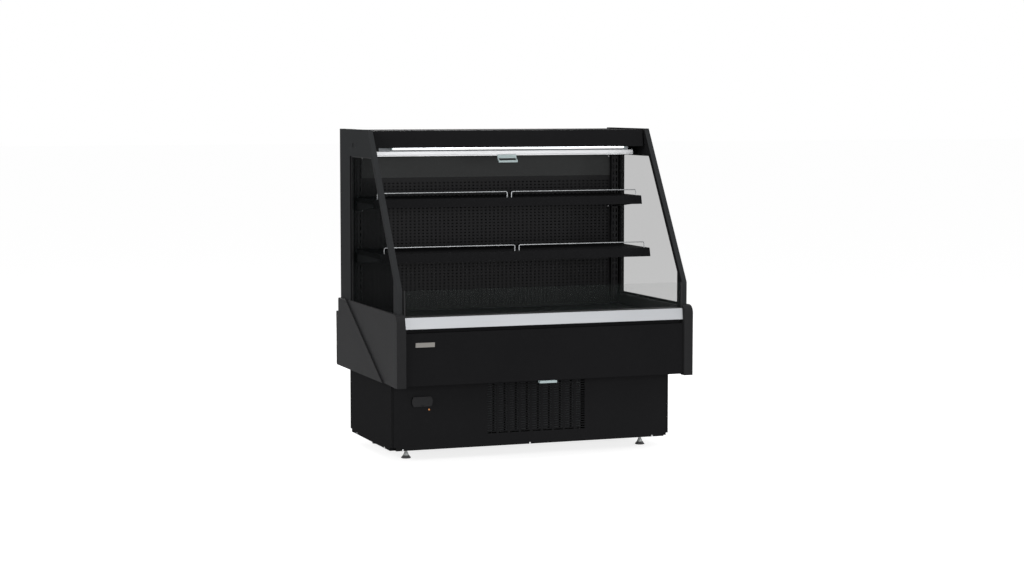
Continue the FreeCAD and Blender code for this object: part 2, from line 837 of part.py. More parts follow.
def shelf(shelf_z, shelf_front_y):
    """Folded shelf: top, side and rear skirts, and a leaning ticket lip."""
    half = shelf_half_width
    rear = upright_front_y - shelf_rear_gap
    under = shelf_z - sheet
    top = box((-half, half), (shelf_front_y, rear), (under, shelf_z))
    skirt = box((half - sheet, half), (shelf_front_y + lip_wall, rear), (shelf_z - shelf_skirt, shelf_z))
    back = box((-half, half), (rear - sheet, rear), (shelf_z - shelf_skirt, shelf_z))
    foot_z = shelf_z - lip_height
    foot_y = shelf_front_y - lip_lean
    lip = prism_x([
        (shelf_front_y, shelf_z),
        (foot_y, foot_z),
        (foot_y + lip_return, foot_z),
        (foot_y + lip_return, foot_z + lip_wall),
        (foot_y + lip_wall, foot_z + lip_wall),
        (shelf_front_y + lip_wall, shelf_z - sheet),
        (shelf_front_y + lip_wall, shelf_z),
    ], (-half, half))
    clearance = bracket_clearance(shelf_z)
    body = join([top, lip, back] + both_ends(skirt))
    holes = [rod((x, stop_y(shelf_front_y), shelf_z - stop_leg), (0, 0, 1),
                 wire_radius + running_gap, stop_leg)
             for x in stop_leg_places(1) + stop_leg_places(-1)]
    return body.cut(holes + clearance)


def bracket_clearance(shelf_z):
    """Gaps in the shelf's rear skirt that its brackets pass through."""
    gaps = []
    for x in bracket_places():
        half = bracket_thickness / 2 + seat_gap
        gaps.append(box((x - half, x + half), (upright_front_y - shelf_rear_gap - sheet, upright_front_y),
                        (shelf_z - shelf_skirt, shelf_z - sheet)))
    return gaps


def bracket_places():
    """The brackets hang in the outer column of each upright."""
    place = upright_x + upright_slot_spacing / 2
    return [-place, place]


def shelf_brackets(shelf_z, shelf_front_y):
    """A tapered arm at each end with hooks in the upright and a foot flange."""
    under = shelf_z - sheet
    rear = upright_front_y - seat_gap
    front = shelf_front_y + bracket_front_gap
    mid_hook = hook_z(shelf_z)
    hooks_z = [mid_hook, mid_hook - upright_slot_pitch]
    deep_z = min(under - bracket_rear_depth, hooks_z[1] - hook_height)
    shallow_z = under - bracket_front_depth
    outline = [(front, under), (rear, under), (rear, deep_z), (front, shallow_z)]
    arms = []
    for x in bracket_places():
        inward = -1 if x > 0 else 1
        side_range = (x - bracket_thickness / 2, x + bracket_thickness / 2)
        arm = prism_x(outline, side_range)
        flange_outline = [
            (front, shallow_z),
            (rear, deep_z),
            (rear, deep_z + bracket_thickness),
            (front, shallow_z + bracket_thickness),
        ]
        flange = prism_x(flange_outline, (x, x + inward * bracket_flange))
        hooks = [box(side_range, (rear, rear + hook_reach), (z - hook_height / 2, z + hook_height / 2))
                 for z in hooks_z]
        arms.append(join([arm, flange] + hooks))
    return group(arms)


def stop_y(shelf_front_y):
    """Product stops stand a little behind the shelf's front edge."""
    return shelf_front_y + stop_setback


def stop_leg_places(side):
    """Legs at both ends of one stop; side is 1 for right, -1 for left."""
    return [side * stop_centre_gap, side * stop_end_x]


def wire_stop(shelf_z, shelf_front_y, side):
    """One chrome wire hoop that stands in two holes of the shelf."""
    y = stop_y(shelf_front_y)
    inner, outer = stop_leg_places(side)
    foot = shelf_z - stop_leg
    rail = shelf_z + stop_height
    points = [(inner, y, foot), (inner, y, rail), (outer, y, rail), (outer, y, foot)]
    return tube(points, wire_radius, stop_bend)


# ---------------------------------------------------------------- deck
def deck_pan(index):
    """One lift-out deck pan with folded rims."""
    width = 2 * deck_half / deck_pan_count
    left = -deck_half + index * width + loose_gap / 2
    right = left + width - loose_gap
    block = box((left, right), (deck_front_y, deck_rear_y), (ledge_z, deck_z))
    hollow = box((left + sheet, right - sheet), (deck_front_y + sheet, deck_rear_y - sheet),
                 (ledge_z, deck_z - sheet))
    return block.cut(hollow)


def return_air_grille():
    """Lift-out slotted grille behind the front glass."""
    rear = deck_front_y - loose_gap
    block = box((-deck_half, deck_half), (return_grille_front_y, rear), (ledge_z, return_grille_z))
    hollow = box((-deck_half + sheet, deck_half - sheet), (return_grille_front_y + sheet, rear - sheet),
                 (ledge_z, return_grille_z - sheet))
    middle = (return_grille_front_y + rear) / 2
    pitch = 2 * deck_half / return_slot_count
    slots = []
    for x in centred(0, return_slot_count, pitch):
        for y in centred(middle, 3, 2 * return_slot_width):
            slots.append(box((x - return_slot_length / 2, x + return_slot_length / 2),
                             (y - return_slot_width / 2, y + return_slot_width / 2),
                             (return_grille_z - sheet, return_grille_z)))
    return block.cut([hollow] + slots)


# ---------------------------------------------------------------- canopy
def canopy_top():
    """Roof sheet with two hangers that carry the curtain roll."""
    roof = box((-body_half, body_half), (header_top_y + canopy_tab, wall_rear_y), (foam_top_z, canopy_top_z))
    x = roll_half_length + roll_bracket_gap
    hanger = box((x, x + 2 * sheet), (roll_y - roll_bracket_width / 2, roll_y + roll_bracket_width / 2),
                 (roll_z - roll_bracket_width / 2, foam_top_z))
    bore = rod((x, roll_y, roll_z), (1, 0, 0), axle_radius + running_gap, 2 * sheet)
    hanger = hanger.cut(bore)
    return join([roof] + both_ends(hanger))


def canopy_header():
    """Leaning front board with a roof tab and a lower flange for the lamp."""
    top_z = canopy_top_z
    outline = [
        (header_top_y, top_z),
        (header_bottom_y, header_bottom_z),
        (header_flange_rear_y, header_bottom_z),
        (header_flange_rear_y, header_bottom_z + sheet),
        (header_bottom_y + lip_wall, header_bottom_z + sheet),
        (header_top_y + lip_wall, top_z - sheet),
        (header_top_y + canopy_tab, top_z - sheet),
        (header_top_y + canopy_tab, top_z),
    ]
    board = prism_x(outline, (-header_half_width, header_half_width))
    tie = box((header_half_width - canopy_tab, body_half),
              (header_top_y + lip_wall, header_top_y + canopy_tab),
              (top_z - sheet - canopy_tab / 2, top_z - sheet))
    return join([board] + both_ends(tie))


def lamp():
    """Sealed light strip under the header's flange."""
    strip = box((-lamp_half_length, lamp_half_length), (lamp_front_y, lamp_front_y + lamp_width),
                (header_bottom_z - lamp_height, header_bottom_z))
    return round_edges(strip, lamp_height / 3,
                       runs_along("x", lambda middle: middle.z < header_bottom_z - lamp_height / 2))


def air_outlet():
    """Honeycomb strip that lets the cold air down, with the duct's front wall."""
    half = body_half
    rear = outlet_front_y + outlet_depth
    slab = box((-half, half), (outlet_front_y, rear), (outlet_bottom_z, outlet_bottom_z + outlet_height))
    pitch_x = 2 * half / outlet_columns
    pitch_y = outlet_depth / outlet_rows
    cells = []
    for x in centred(0, outlet_columns, pitch_x):
        for y in centred((outlet_front_y + rear) / 2, outlet_rows, pitch_y):
            cells.append(box((x - (pitch_x - outlet_cell_wall) / 2, x + (pitch_x - outlet_cell_wall) / 2),
                             (y - (pitch_y - outlet_cell_wall) / 2, y + (pitch_y - outlet_cell_wall) / 2),
                             (outlet_bottom_z, outlet_bottom_z + outlet_height)))
    slab = slab.cut(cells)
    wall = box((-half, half), (outlet_front_y - sheet, outlet_front_y), (outlet_bottom_z, foam_top_z))
    return join([slab, wall])


# ---------------------------------------------------------------- night curtain
def curtain_roll():
    """Rolled curtain on its roller, with an axle end in each hanger."""
    roll = rod((-roll_half_length, roll_y, roll_z), (1, 0, 0), roll_radius, 2 * roll_half_length)
    half = roll_half_length + axle_overhang
    axle = rod((-half, roll_y, roll_z), (1, 0, 0), axle_radius, 2 * half)
    return join([roll, axle])


def curtain_bar():
    """Aluminium pull bar with a groove along its face."""
    front = curtain_bar_y - curtain_bar_depth / 2
    rear = curtain_bar_y + curtain_bar_depth / 2
    half = curtain_bar_half_length
    bar = box((-half, half), (front, rear), (curtain_bar_bottom_z, curtain_bar_top_z))
    groove_z = curtain_bar_bottom_z + curtain_bar_groove
    groove = box((-half, half), (front, front + sheet), (groove_z, groove_z + curtain_bar_groove / 2))
    return bar.cut(groove)


def curtain_handle():
    """Plate on the pull bar with a grip that kicks forward and leaves a finger slot."""
    face_y = curtain_bar_y - curtain_bar_depth / 2
    plate_top = curtain_bar_bottom_z + curtain_bar_groove
    plate_bottom = plate_top - handle_plate_height
    grip_bottom = plate_top - handle_drop
    half = handle_half_width
    plate = box((-half, half), (face_y - handle_wall, face_y), (plate_bottom, plate_top))
    arm_outline = [
        (face_y, plate_bottom + handle_wall),
        (face_y, plate_bottom),
        (face_y - handle_kick, grip_bottom),
        (face_y - handle_kick - handle_wall, grip_bottom),
        (face_y - handle_kick - handle_wall, grip_bottom + handle_grip),
        (face_y - handle_wall, plate_bottom + handle_wall),
    ]
    arm = prism_x(arm_outline, (half - handle_wall, half))
    grip = box((-half, half), (face_y - handle_kick - handle_wall, face_y - handle_kick),
               (grip_bottom, grip_bottom + handle_grip))
    return join([plate, grip] + both_ends(arm))


def curtain_catch():
    """Hook under the front panel; the pull bar's grip drops in behind its lip."""
    top_z = front_panel_bottom_z
    low_z = top_z - catch_drop
    lip_y = front_panel_y - catch_gap
    back_y = front_panel_y + catch_reach
    outline = [
        (back_y, top_z),
        (back_y, low_z),
        (lip_y - catch_wall, low_z),
        (lip_y - catch_wall, low_z + catch_lip_height),
        (lip_y, low_z + catch_lip_height),
        (lip_y, low_z + catch_wall),
        (back_y - catch_wall, low_z + catch_wall),
        (back_y - catch_wall, top_z),
    ]
    return prism_x(outline, (-catch_half_width, catch_half_width))


# ---------------------------------------------------------------- machine base
def foot_places():
    """Middles of the four feet."""
    return [(side * foot_x, y) for side in (-1, 1) for y in (foot_front_y, foot_rear_y)]


def base_frame():
    """Floor tray with edge rails, corner posts and threaded bosses for the feet."""
    outer_x = base_half - sheet
    front = base_front_y + sheet
    rear = base_rear_y - sheet
    inset = corner_notch_width
    floor = join([
        box((-outer_x, outer_x), (front + inset, rear - inset), (base_bottom_z, base_bottom_z + rail_height)),
        box((-outer_x + inset, outer_x - inset), (front, rear), (base_bottom_z, base_bottom_z + rail_height)),
    ])
    hollow = box((-outer_x + inset + sheet, outer_x - inset - sheet),
                 (front + inset + sheet, rear - inset - sheet),
                 (base_bottom_z + 2 * sheet, base_bottom_z + rail_height))
    tray = floor.cut(hollow)
    post_x = outer_x - inset
    posts = []
    for side in (-1, 1):
        for y in ((front + inset, front + inset + post_size), (rear - inset, rear - inset - post_size)):
            posts.append(box((side * post_x, side * (post_x - post_size)), y,
                             (base_bottom_z + sheet, tub_bottom_z)))
    bosses = [rod((x, y, base_bottom_z), (0, 0, 1), foot_boss_radius, foot_boss_height)
              for x, y in foot_places()]
    frame = join([tray] + posts + bosses)
    bores = [rod((x, y, base_bottom_z), (0, 0, 1), foot_stud_radius + running_gap,
                 foot_stud_top_z - base_bottom_z + loose_gap)
             for x, y in foot_places()]
    return frame.cut(bores)


def notch_cutters():
    """Corner cut-outs at the foot of the base's panels."""
    height = (base_bottom_z, base_bottom_z + corner_notch_height)
    reach = corner_notch_width
    return [box((side * base_half, side * (base_half - reach)), y, height)
            for side in (-1, 1)
            for y in ((base_front_y, base_front_y + reach), (base_rear_y, base_rear_y - reach))]


def screw_places():
    """Where the base's panels are screwed: (x, y, outward direction)."""
    places = []
    for x in centred(screw_row_shift, 3, screw_pitch):
        places.append((x, base_front_y + sheet, (0, -1, 0)))
        places.append((x, base_rear_y - sheet, (0, 1, 0)))
    middle = (base_front_y + base_rear_y) / 2
    for y in centred(middle, 2, side_screw_pitch):
        for side in (-1, 1):
            places.append((side * (base_half - sheet), y, (side, 0, 0)))
    return places


def screw_notches():
    """U-shaped notches in the panels' lower edge, one round each screw."""
    cutters = []
    reach = 2 * sheet
    for x, y, out in screw_places():
        block = box((-screw_notch / 2, screw_notch / 2), (-reach, reach), (base_bottom_z, screw_z))
        disc = rod((0, -reach, screw_z), (0, 1, 0), screw_notch / 2, 2 * reach)
        cutter = join([block, disc])
        if out[0]:
            cutter.rotate(Vector(0, 0, 0), Vector(0, 0, 1), 90)
        cutter.translate(Vector(x, y, 0))
        cutters.append(cutter)
    return cutters


def panel_screws():
    """Round-headed screws on the base rails, heads in the panels' notches."""
    screws = []
    for x, y, out in screw_places():
        head = rod((x, y, screw_z), out, wood_screw_head, screw_head_height)
        screws.append(head)
    return group(screws)


def right_base_panel():
    """Side sheet that wraps round both corners."""
    inner = base_half - panel_corner
    height = (base_bottom_z, tub_bottom_z)
    side = box((base_half - sheet, base_half), (base_front_y, base_rear_y), height)
    front = box((inner, base_half), (base_front_y, base_front_y + sheet), height)
    rear = box((inner, base_half), (base_rear_y - sheet, base_rear_y), height)
    return join([side, front, rear]).cut(notch_cutters() + screw_notches())


def front_cutouts():
    """Openings for the controller and the indicator lamp."""
    half_x = controller_width / 2 + seat_gap
    half_z = controller_height / 2 + seat_gap
    window = box((controller_x - half_x, controller_x + half_x), (base_front_y, base_front_y + sheet),
                 (controller_z - half_z, controller_z + half_z))
    lamp_hole = rod((indicator_x, base_front_y, indicator_z), (0, 1, 0),
                    indicator_radius - sheet + seat_gap, sheet)
    return [window, lamp_hole]


def lower_front_panel():
    """Base front with the slotted air grille."""
    inner = base_half - panel_corner - seat_gap
    panel = box((-inner, inner), (base_front_y, base_front_y + sheet), (base_bottom_z, front_panel_bottom_z))
    slots = []
    for x in centred(grille_centre_x, grille_columns, grille_column_pitch):
        for row in range(grille_rows):
            z = grille_bottom_z + row * grille_row_pitch
            slots.append(box((x - grille_slot_length / 2, x + grille_slot_length / 2),
                             (base_front_y, base_front_y + sheet), (z, z + grille_slot_height)))
    return panel.cut(slots + front_cutouts() + notch_cutters() + screw_notches())


def rear_service_panel():
    """Base rear with warm-air slots and the hole for the supply gland."""
    inner = base_half - panel_corner - seat_gap
    panel = box((-inner, inner), (base_rear_y - sheet, base_rear_y), (base_bottom_z, tub_bottom_z))
    slots = []
    for x in centred(0, grille_columns, 2 * grille_column_pitch):
        for row in range(0, grille_rows, 2):
            z = grille_bottom_z + row * grille_row_pitch
            slots.append(box((x - grille_slot_length, x + grille_slot_length),
                             (base_rear_y - sheet, base_rear_y), (z, z + grille_slot_height)))
    gland_clear = box((gland_x - 2 * gland_radius, gland_x + 2 * gland_radius),
                      (base_rear_y - sheet, base_rear_y),
                      (gland_z - 2 * gland_radius, gland_z + 2 * gland_radius))
    slots = [slot for slot in slots if slot.distToShape(gland_clear)[0] > 0]
    hole = rod((gland_x, base_rear_y - sheet, gland_z), (0, 1, 0), gland_thread_radius, sheet)
    return panel.cut(slots + [hole] + notch_cutters() + screw_notches())


def levelling_foot(x, y):
    """Foot with a pad, a cone, a hexagon and a threaded stud, all turned as one."""
    pad = rod((x, y, 0), (0, 0, 1), foot_pad_radius, foot_pad_height)
    pad = pad.makeFillet(sheet, [edge for edge in pad.Edges if len(edge.Vertexes) == 1])
    cone = Part.makeCone(foot_pad_radius - 2 * sheet, foot_neck_radius, foot_cone_height,
                         Vector(x, y, foot_pad_height))
    neck_z = foot_pad_height + foot_cone_height
    corners = [(x + foot_neck_radius * math.cos(math.radians(60 * step)),
                y + foot_neck_radius * math.sin(math.radians(60 * step))) for step in range(6)]
    neck = prism_z(corners, (neck_z, neck_z + foot_neck_height))
    stud = rod((x, y, neck_z), (0, 0, 1), foot_stud_radius, foot_stud_top_z - neck_z)
    return join([pad, cone, neck, stud])


# ---------------------------------------------------------------- fans and motors
def fan(centre, radius):
    """Hub, pitched blades and the shaft that runs in the motor; axis along Y."""
    x, y, z = centre
    hub = rod((x, y - fan_hub_depth / 2, z), (0, 1, 0), fan_hub_radius, fan_hub_depth)
    reach = radius - fan_hub_radius / 2
    chord = fan_hub_depth / math.sin(math.radians(fan_blade_pitch)) * 0.9
    blades = []
    for index in range(fan_blade_count):
        blade = box((-chord / 2, chord / 2), (-fan_blade_thickness / 2, fan_blade_thickness / 2), (0, reach))
        blade.rotate(Vector(0, 0, 0), Vector(0, 0, 1), fan_blade_pitch)
        blade.translate(Vector(0, 0, fan_hub_radius / 2))
        blade.rotate(Vector(0, 0, 0), Vector(0, 1, 0), 360 * index / fan_blade_count)
        blade.translate(Vector(x, y, z))
        blades.append(blade)
    disc = rod((x, y - fan_hub_depth, z), (0, 1, 0), radius, 2 * fan_hub_depth)
    return join([hub] + [blade.common(disc) for blade in blades])


def fan_with_shaft(centre, radius, side):
    """The fan and its shaft; side is -1 when the motor sits towards the front."""
    x, y, z = centre
    start = y + side * (fan_hub_depth / 2)
    shaft = rod((x, start, z), (0, side, 0), shaft_radius, motor_gap + shaft_seat)
    return join([fan(centre, radius), shaft])


def fan_motor(centre, radius, side, mount_y):
    """Motor with a strap across the fan opening and two legs to the sheet it hangs on."""
    x, y, z = centre
    near = y + side * (fan_hub_depth / 2 + motor_gap)
    body = rod((x, near, z), (0, side, 0), motor_radius, motor_length)
    half = radius + 2 * fan_ring_gap
    strap_far = near + side * 2 * sheet
    strap = box((x - half, x + half), (near, strap_far), (z - motor_strap / 2, z + motor_strap / 2))
    legs = [box((x + end * half, x + end * (half - 2 * sheet)), (mount_y, strap_far),
                (z - motor_strap / 2, z + motor_strap / 2)) for end in (-1, 1)]
    bore = rod((x, near, z), (0, side, 0), shaft_radius + running_gap, shaft_seat + loose_gap)
    return join([body, strap] + legs).cut(bore)


def evaporator_fan_centres():
    """Middles of the two fans under the deck."""
    y = evaporator_panel_y + fan_hub_depth / 2 + sheet
    return [(-evaporator_fan_x, y, evaporator_fan_z), (evaporator_fan_x, y, evaporator_fan_z)]


def condenser_fan_centre():
    """Middle of the fan behind the condenser."""
    y = condenser_front_y + condenser_depth + shroud_depth + fan_hub_depth / 2 + fan_ring_gap
    return (condenser_x, y, condenser_z)


def fan_motors():
    """The three motors, each with its strap."""
    motors = [fan_motor(centre, evaporator_fan_radius, -1, evaporator_panel_y - sheet)
              for centre in evaporator_fan_centres()]
    shroud_rear = condenser_front_y + condenser_depth + shroud_depth
    motors.append(fan_motor(condenser_fan_centre(), condenser_fan_radius, 1, shroud_rear))
    return group(motors)


def evaporator_fan_panel():
    """Upright sheet with two fan openings and the flange under the deck's front edge."""
    half = body_half - sheet - seat_gap
    face = box((-half, half), (evaporator_panel_y - sheet, evaporator_panel_y),
               (liner_floor_z + sheet, ledge_z))
    flange = box((-half, half), (evaporator_panel_y - bridge_width, evaporator_panel_y),
                 (ledge_z - sheet, ledge_z))
    holes = [rod((x, evaporator_panel_y - sheet, z), (0, 1, 0), evaporator_fan_radius + fan_ring_gap, sheet)
             for x, y, z in evaporator_fan_centres()]
    return join([face, flange]).cut(holes)


def coil_block(x_range, y_range, z_range, fin_pitch, columns, rows):
    """Finned block with end plates and round tubes that stand out of both ends."""
    left, right = x_range
    block = box(x_range, y_range, z_range)
    count = int((right - left) / fin_pitch)
    depth = (max(y_range) - min(y_range)) / 10
    grooves = []
    for x in centred((left + right) / 2, count - 1, fin_pitch):
        for y in y_range:
            grooves.append(box((x - fin_pitch / 4, x + fin_pitch / 4), (y - depth, y + depth), z_range))
    block = block.cut(grooves)
    tubes = []
    step_y = (y_range[1] - y_range[0]) / columns
    step_z = (z_range[1] - z_range[0]) / rows
    for y in centred(sum(y_range) / 2, columns, step_y):
        for z in centred(sum(z_range) / 2, rows, step_z):
            tubes.append(rod((left - pipe_bend, y, z), (1, 0, 0), pipe_radius, right - left + 2 * pipe_bend))
    return join([block] + tubes)


def evaporator_coil():
    """Cold coil on two feet on the tub's floor."""
    half = evaporator_half_length
    rear = evaporator_rear_y
    top = evaporator_bottom_z + evaporator_height
    coil = coil_block((-half, half), (evaporator_front_y, rear), (evaporator_bottom_z, top),
                      evaporator_fin_pitch, evaporator_columns, evaporator_rows)
    feet = [box((side * half, side * (half - coil_foot)),
                (evaporator_front_y + coil_foot, rear - coil_foot),
                (liner_floor_z + sheet, evaporator_bottom_z + coil_foot)) for side in (-1, 1)]
    return join([coil] + feet)


def condenser_coil():
    """Warm coil behind the front grille, on the base tray."""
    left = condenser_x - condenser_half_width
    right = condenser_x + condenser_half_width
    rear = condenser_front_y + condenser_depth
    top = condenser_bottom_z + condenser_height
    coil = coil_block((left, right), (condenser_front_y, rear), (condenser_bottom_z, top),
                      condenser_fin_pitch, condenser_columns, condenser_rows)
    feet = [box((x, x + coil_foot), (condenser_front_y, rear),
                (base_bottom_z + 2 * sheet, condenser_bottom_z + coil_foot))
            for x in (left, right - coil_foot)]
    return join([coil] + feet)


def condenser_shroud():
    """Sheet box behind the condenser with the fan opening."""
    left = condenser_x - condenser_half_width
    right = condenser_x + condenser_half_width
    front = condenser_front_y + condenser_depth
    rear = front + shroud_depth
    top = condenser_bottom_z + condenser_height
    outer = box((left, right), (front, rear), (condenser_bottom_z, top))
    hollow = box((left + sheet, right - sheet), (front, rear - sheet),
                 (condenser_bottom_z + sheet, top - sheet))
    opening = rod((condenser_x, rear - sheet, condenser_z), (0, 1, 0),
                  condenser_fan_radius + fan_ring_gap, sheet)
    return outer.cut([hollow, opening])


# ---------------------------------------------------------------- refrigeration and wiring
def compressor():
    """Welded shell with domed ends on a pressed plate, on four rubber grommets."""
    dome = compressor_radius / 3
    can = rod((compressor_x, compressor_y, compressor_foot_z + dome), (0, 0, 1), compressor_radius,
              compressor_height - 2 * dome)
    can = can.makeFillet(dome - sheet, [edge for edge in can.Edges if len(edge.Vertexes) == 1])
    half = compressor_plate / 2
    plate = box((compressor_x - half, compressor_x + half), (compressor_y - half, compressor_y + half),
                (compressor_foot_z, compressor_foot_z + 2 * sheet))
    plate = round_edges(plate, grommet_radius, runs_along("z"))
    neck = rod((compressor_x, compressor_y, compressor_foot_z), (0, 0, 1), compressor_radius / 2,
               dome + sheet)
    terminal = box((compressor_x - compressor_radius - grommet_radius, compressor_x),
                   (compressor_y - grommet_radius, compressor_y + grommet_radius),
                   (compressor_foot_z + compressor_radius / 2, compressor_foot_z + compressor_radius))
    shell = join([can, plate, neck, terminal])
    floor_z = base_bottom_z + 2 * sheet
    reach = grommet_pitch / 2
    grommets = [rod((compressor_x + across * reach, compressor_y + along * reach, floor_z), (0, 0, 1),
                    grommet_radius, compressor_foot_z - floor_z)
                for across in (-1, 1) for along in (-1, 1)]
    return group([shell] + grommets)


def copper_pipes():
    """Discharge, suction and liquid lines."""
    shell_top = compressor_foot_z + compressor_height - compressor_radius / 3
    coil_top = condenser_bottom_z + condenser_height
    run_z = coil_top + pipe_bend
    coil_y = condenser_front_y + condenser_depth / 4
    inlet_x = condenser_x + condenser_half_width / 2
    front_port_y = compressor_y - 2 * pipe_spacing
    discharge = tube([
        (compressor_x, front_port_y, shell_top),
        (compressor_x, front_port_y, run_z),
        (inlet_x, front_port_y, run_z),
        (inlet_x, coil_y, run_z),
        (inlet_x, coil_y, coil_top),
    ], pipe_radius, pipe_bend / 2)
    chase_x = pipe_chase_x
    cold_end = evaporator_half_length + pipe_bend
    rear_port_y = pipe_chase_y + pipe_spacing / 2
    warm_row_y = evaporator_row_y(3)
    suction_z = evaporator_row_z(1)
    suction = tube([
        (compressor_x, rear_port_y, shell_top),
        (compressor_x, rear_port_y, run_z),
        (chase_x, rear_port_y, run_z),
        (chase_x, rear_port_y, suction_z),
        (chase_x, warm_row_y, suction_z),
        (cold_end, warm_row_y, suction_z),
    ], pipe_radius, pipe_bend / 2)
    liquid_y = pipe_chase_y - pipe_spacing / 2
    outlet_z = condenser_bottom_z + condenser_height / condenser_rows / 2
    cold_row_y = evaporator_row_y(2)
    liquid_z = evaporator_row_z(0)
    liquid = tube([
        (condenser_x + condenser_half_width + pipe_bend, coil_y, outlet_z),
        (chase_x, coil_y, outlet_z),
        (chase_x, liquid_y, outlet_z),
        (chase_x, liquid_y, liquid_z),
        (chase_x, cold_row_y, liquid_z),
        (cold_end, cold_row_y, liquid_z),
    ], pipe_radius, pipe_bend / 2)
    return group([discharge, suction, liquid])


def evaporator_row_y(index):
    """Middle of one column of the cold coil's tubes, counted from the front."""
    return evaporator_front_y + (index + 0.5) * evaporator_depth / evaporator_columns


def evaporator_row_z(index):
    """Middle of one row of the cold coil's tubes, counted from below."""
    return evaporator_bottom_z + (index + 0.5) * evaporator_height / evaporator_rows


def electrical_box():
    """Closed steel box for the terminals and the relay."""
    half = electrical_box_width / 2
    front = electrical_box_front_y
    case = box((electrical_box_x - half, electrical_box_x + half), (front, front + electrical_box_depth),
               (base_bottom_z + 2 * sheet, base_bottom_z + 2 * sheet + electrical_box_height))
    return round_edges(case, 2 * sheet, runs_along("z"))


def cover_pin_place():
    """Axis of the cover's hinge (y, z): between the flange and the cover, near its top."""
    pin_y = base_front_y - sheet - cover_knuckle_radius - seat_gap
    pin_z = controller_z + cover_height / 2 - cover_top_reach
    return pin_y, pin_z


def knuckle(x_range, radius):
    """A round hinge piece on the cover's axis."""
    pin_y, pin_z = cover_pin_place()
    return rod((min(x_range), pin_y, pin_z), (1, 0, 0), radius, max(x_range) - min(x_range))


def controller():
    """Thermostat body through the panel, with a thin face flange and two hinge ears."""
    half_x = controller_width / 2
    half_z = controller_height / 2
    front = base_front_y
    flange_x = half_x + 2 * sheet
    body = box((controller_x - half_x, controller_x + half_x), (front, front + controller_depth),
               (controller_z - half_z, controller_z + half_z))
    flange = box((controller_x - flange_x, controller_x + flange_x), (front - sheet, front),
                 (controller_z - half_z - sheet, controller_z + half_z + sheet))
    pin_y, pin_z = cover_pin_place()
    ears = []
    for side in (-1, 1):
        ear_range = (controller_x + side * flange_x, controller_x + side * (flange_x - cover_ear))
        foot = box(ear_range, (pin_y, front), (pin_z - cover_knuckle_radius, pin_z + cover_knuckle_radius))
        ears.append(foot)
        ears.append(knuckle(ear_range, cover_knuckle_radius))
    bore = knuckle((controller_x - flange_x, controller_x + flange_x), cover_pin_radius + running_gap)
    return join([body, flange] + ears).cut(bore)


def controller_cover():
    """Splash cover that flips up: plate with bowed ends and two lugs, each with a hinge pin."""
    half_x = cover_width / 2
    half_z = cover_height / 2
    pin_y, pin_z = cover_pin_place()
    rear = pin_y - cover_knuckle_radius - seat_gap
    face_y = rear - cover_wall
    corner_x = half_x - cover_bulge
    corners = [Vector(controller_x + across * corner_x, face_y, controller_z + up * half_z)
               for across, up in ((-1, -1), (1, -1), (1, 1), (-1, 1))]
    ends = [Vector(controller_x + across * half_x, face_y, controller_z) for across in (1, -1)]
    rim = [Part.LineSegment(corners[0], corners[1]), Part.Arc(corners[1], ends[0], corners[2]),
           Part.LineSegment(corners[2], corners[3]), Part.Arc(corners[3], ends[1], corners[0])]
    face = Part.Face(Part.Wire([side.toShape() for side in rim]))
    plate = face.extrude(Vector(0, cover_wall, 0))
    plate = round_edges(plate, cover_corner, runs_along("y"))
    ear_inner = controller_width / 2 + 2 * sheet - cover_ear
    lugs = []
    for side in (-1, 1):
        lug_outer = controller_x + side * (ear_inner - seat_gap)
        lug_range = (lug_outer, lug_outer - side * cover_ear)
        lugs.append(knuckle(lug_range, cover_knuckle_radius))
        lugs.append(box(lug_range, (rear, pin_y), (pin_z - cover_knuckle_radius, pin_z)))
        lugs.append(knuckle((lug_outer, controller_x + side * (ear_inner + cover_ear)), cover_pin_radius))
    return join([plate] + lugs)


def indicator_lamp():
    """Small lens with a barrel through the panel."""
    lens = rod((indicator_x, base_front_y - indicator_proud, indicator_z), (0, 1, 0),
               indicator_radius, indicator_proud)
    lens = lens.makeFillet(sheet, [edge for edge in lens.Edges
                                   if len(edge.Vertexes) == 1 and edge.CenterOfMass.y < base_front_y - sheet])
    barrel = rod((indicator_x, base_front_y, indicator_z), (0, 1, 0),
                 indicator_radius - sheet, indicator_depth)
    return join([lens, barrel])


def cable_gland():
    """Supply inlet: hexagon outside, thread through the rear panel, open bore."""
    corners = [(gland_x + gland_radius * math.cos(math.radians(60 * step)),
                gland_z + gland_radius * math.sin(math.radians(60 * step))) for step in range(6)]
    nut = prism_y(corners, (base_rear_y, base_rear_y + gland_length / 3))
    dome = Part.makeCone(gland_thread_radius + sheet, gland_bore + sheet, gland_length / 3,
                         Vector(gland_x, base_rear_y + gland_length / 3, gland_z), Vector(0, 1, 0))
    thread = rod((gland_x, base_rear_y - gland_length / 3, gland_z), (0, 1, 0), gland_thread_radius,
                 gland_length / 3)
    bore = rod((gland_x, base_rear_y - gland_length, gland_z), (0, 1, 0), gland_bore, 2 * gland_length)
    return join([nut, dome, thread]).cut(bore)


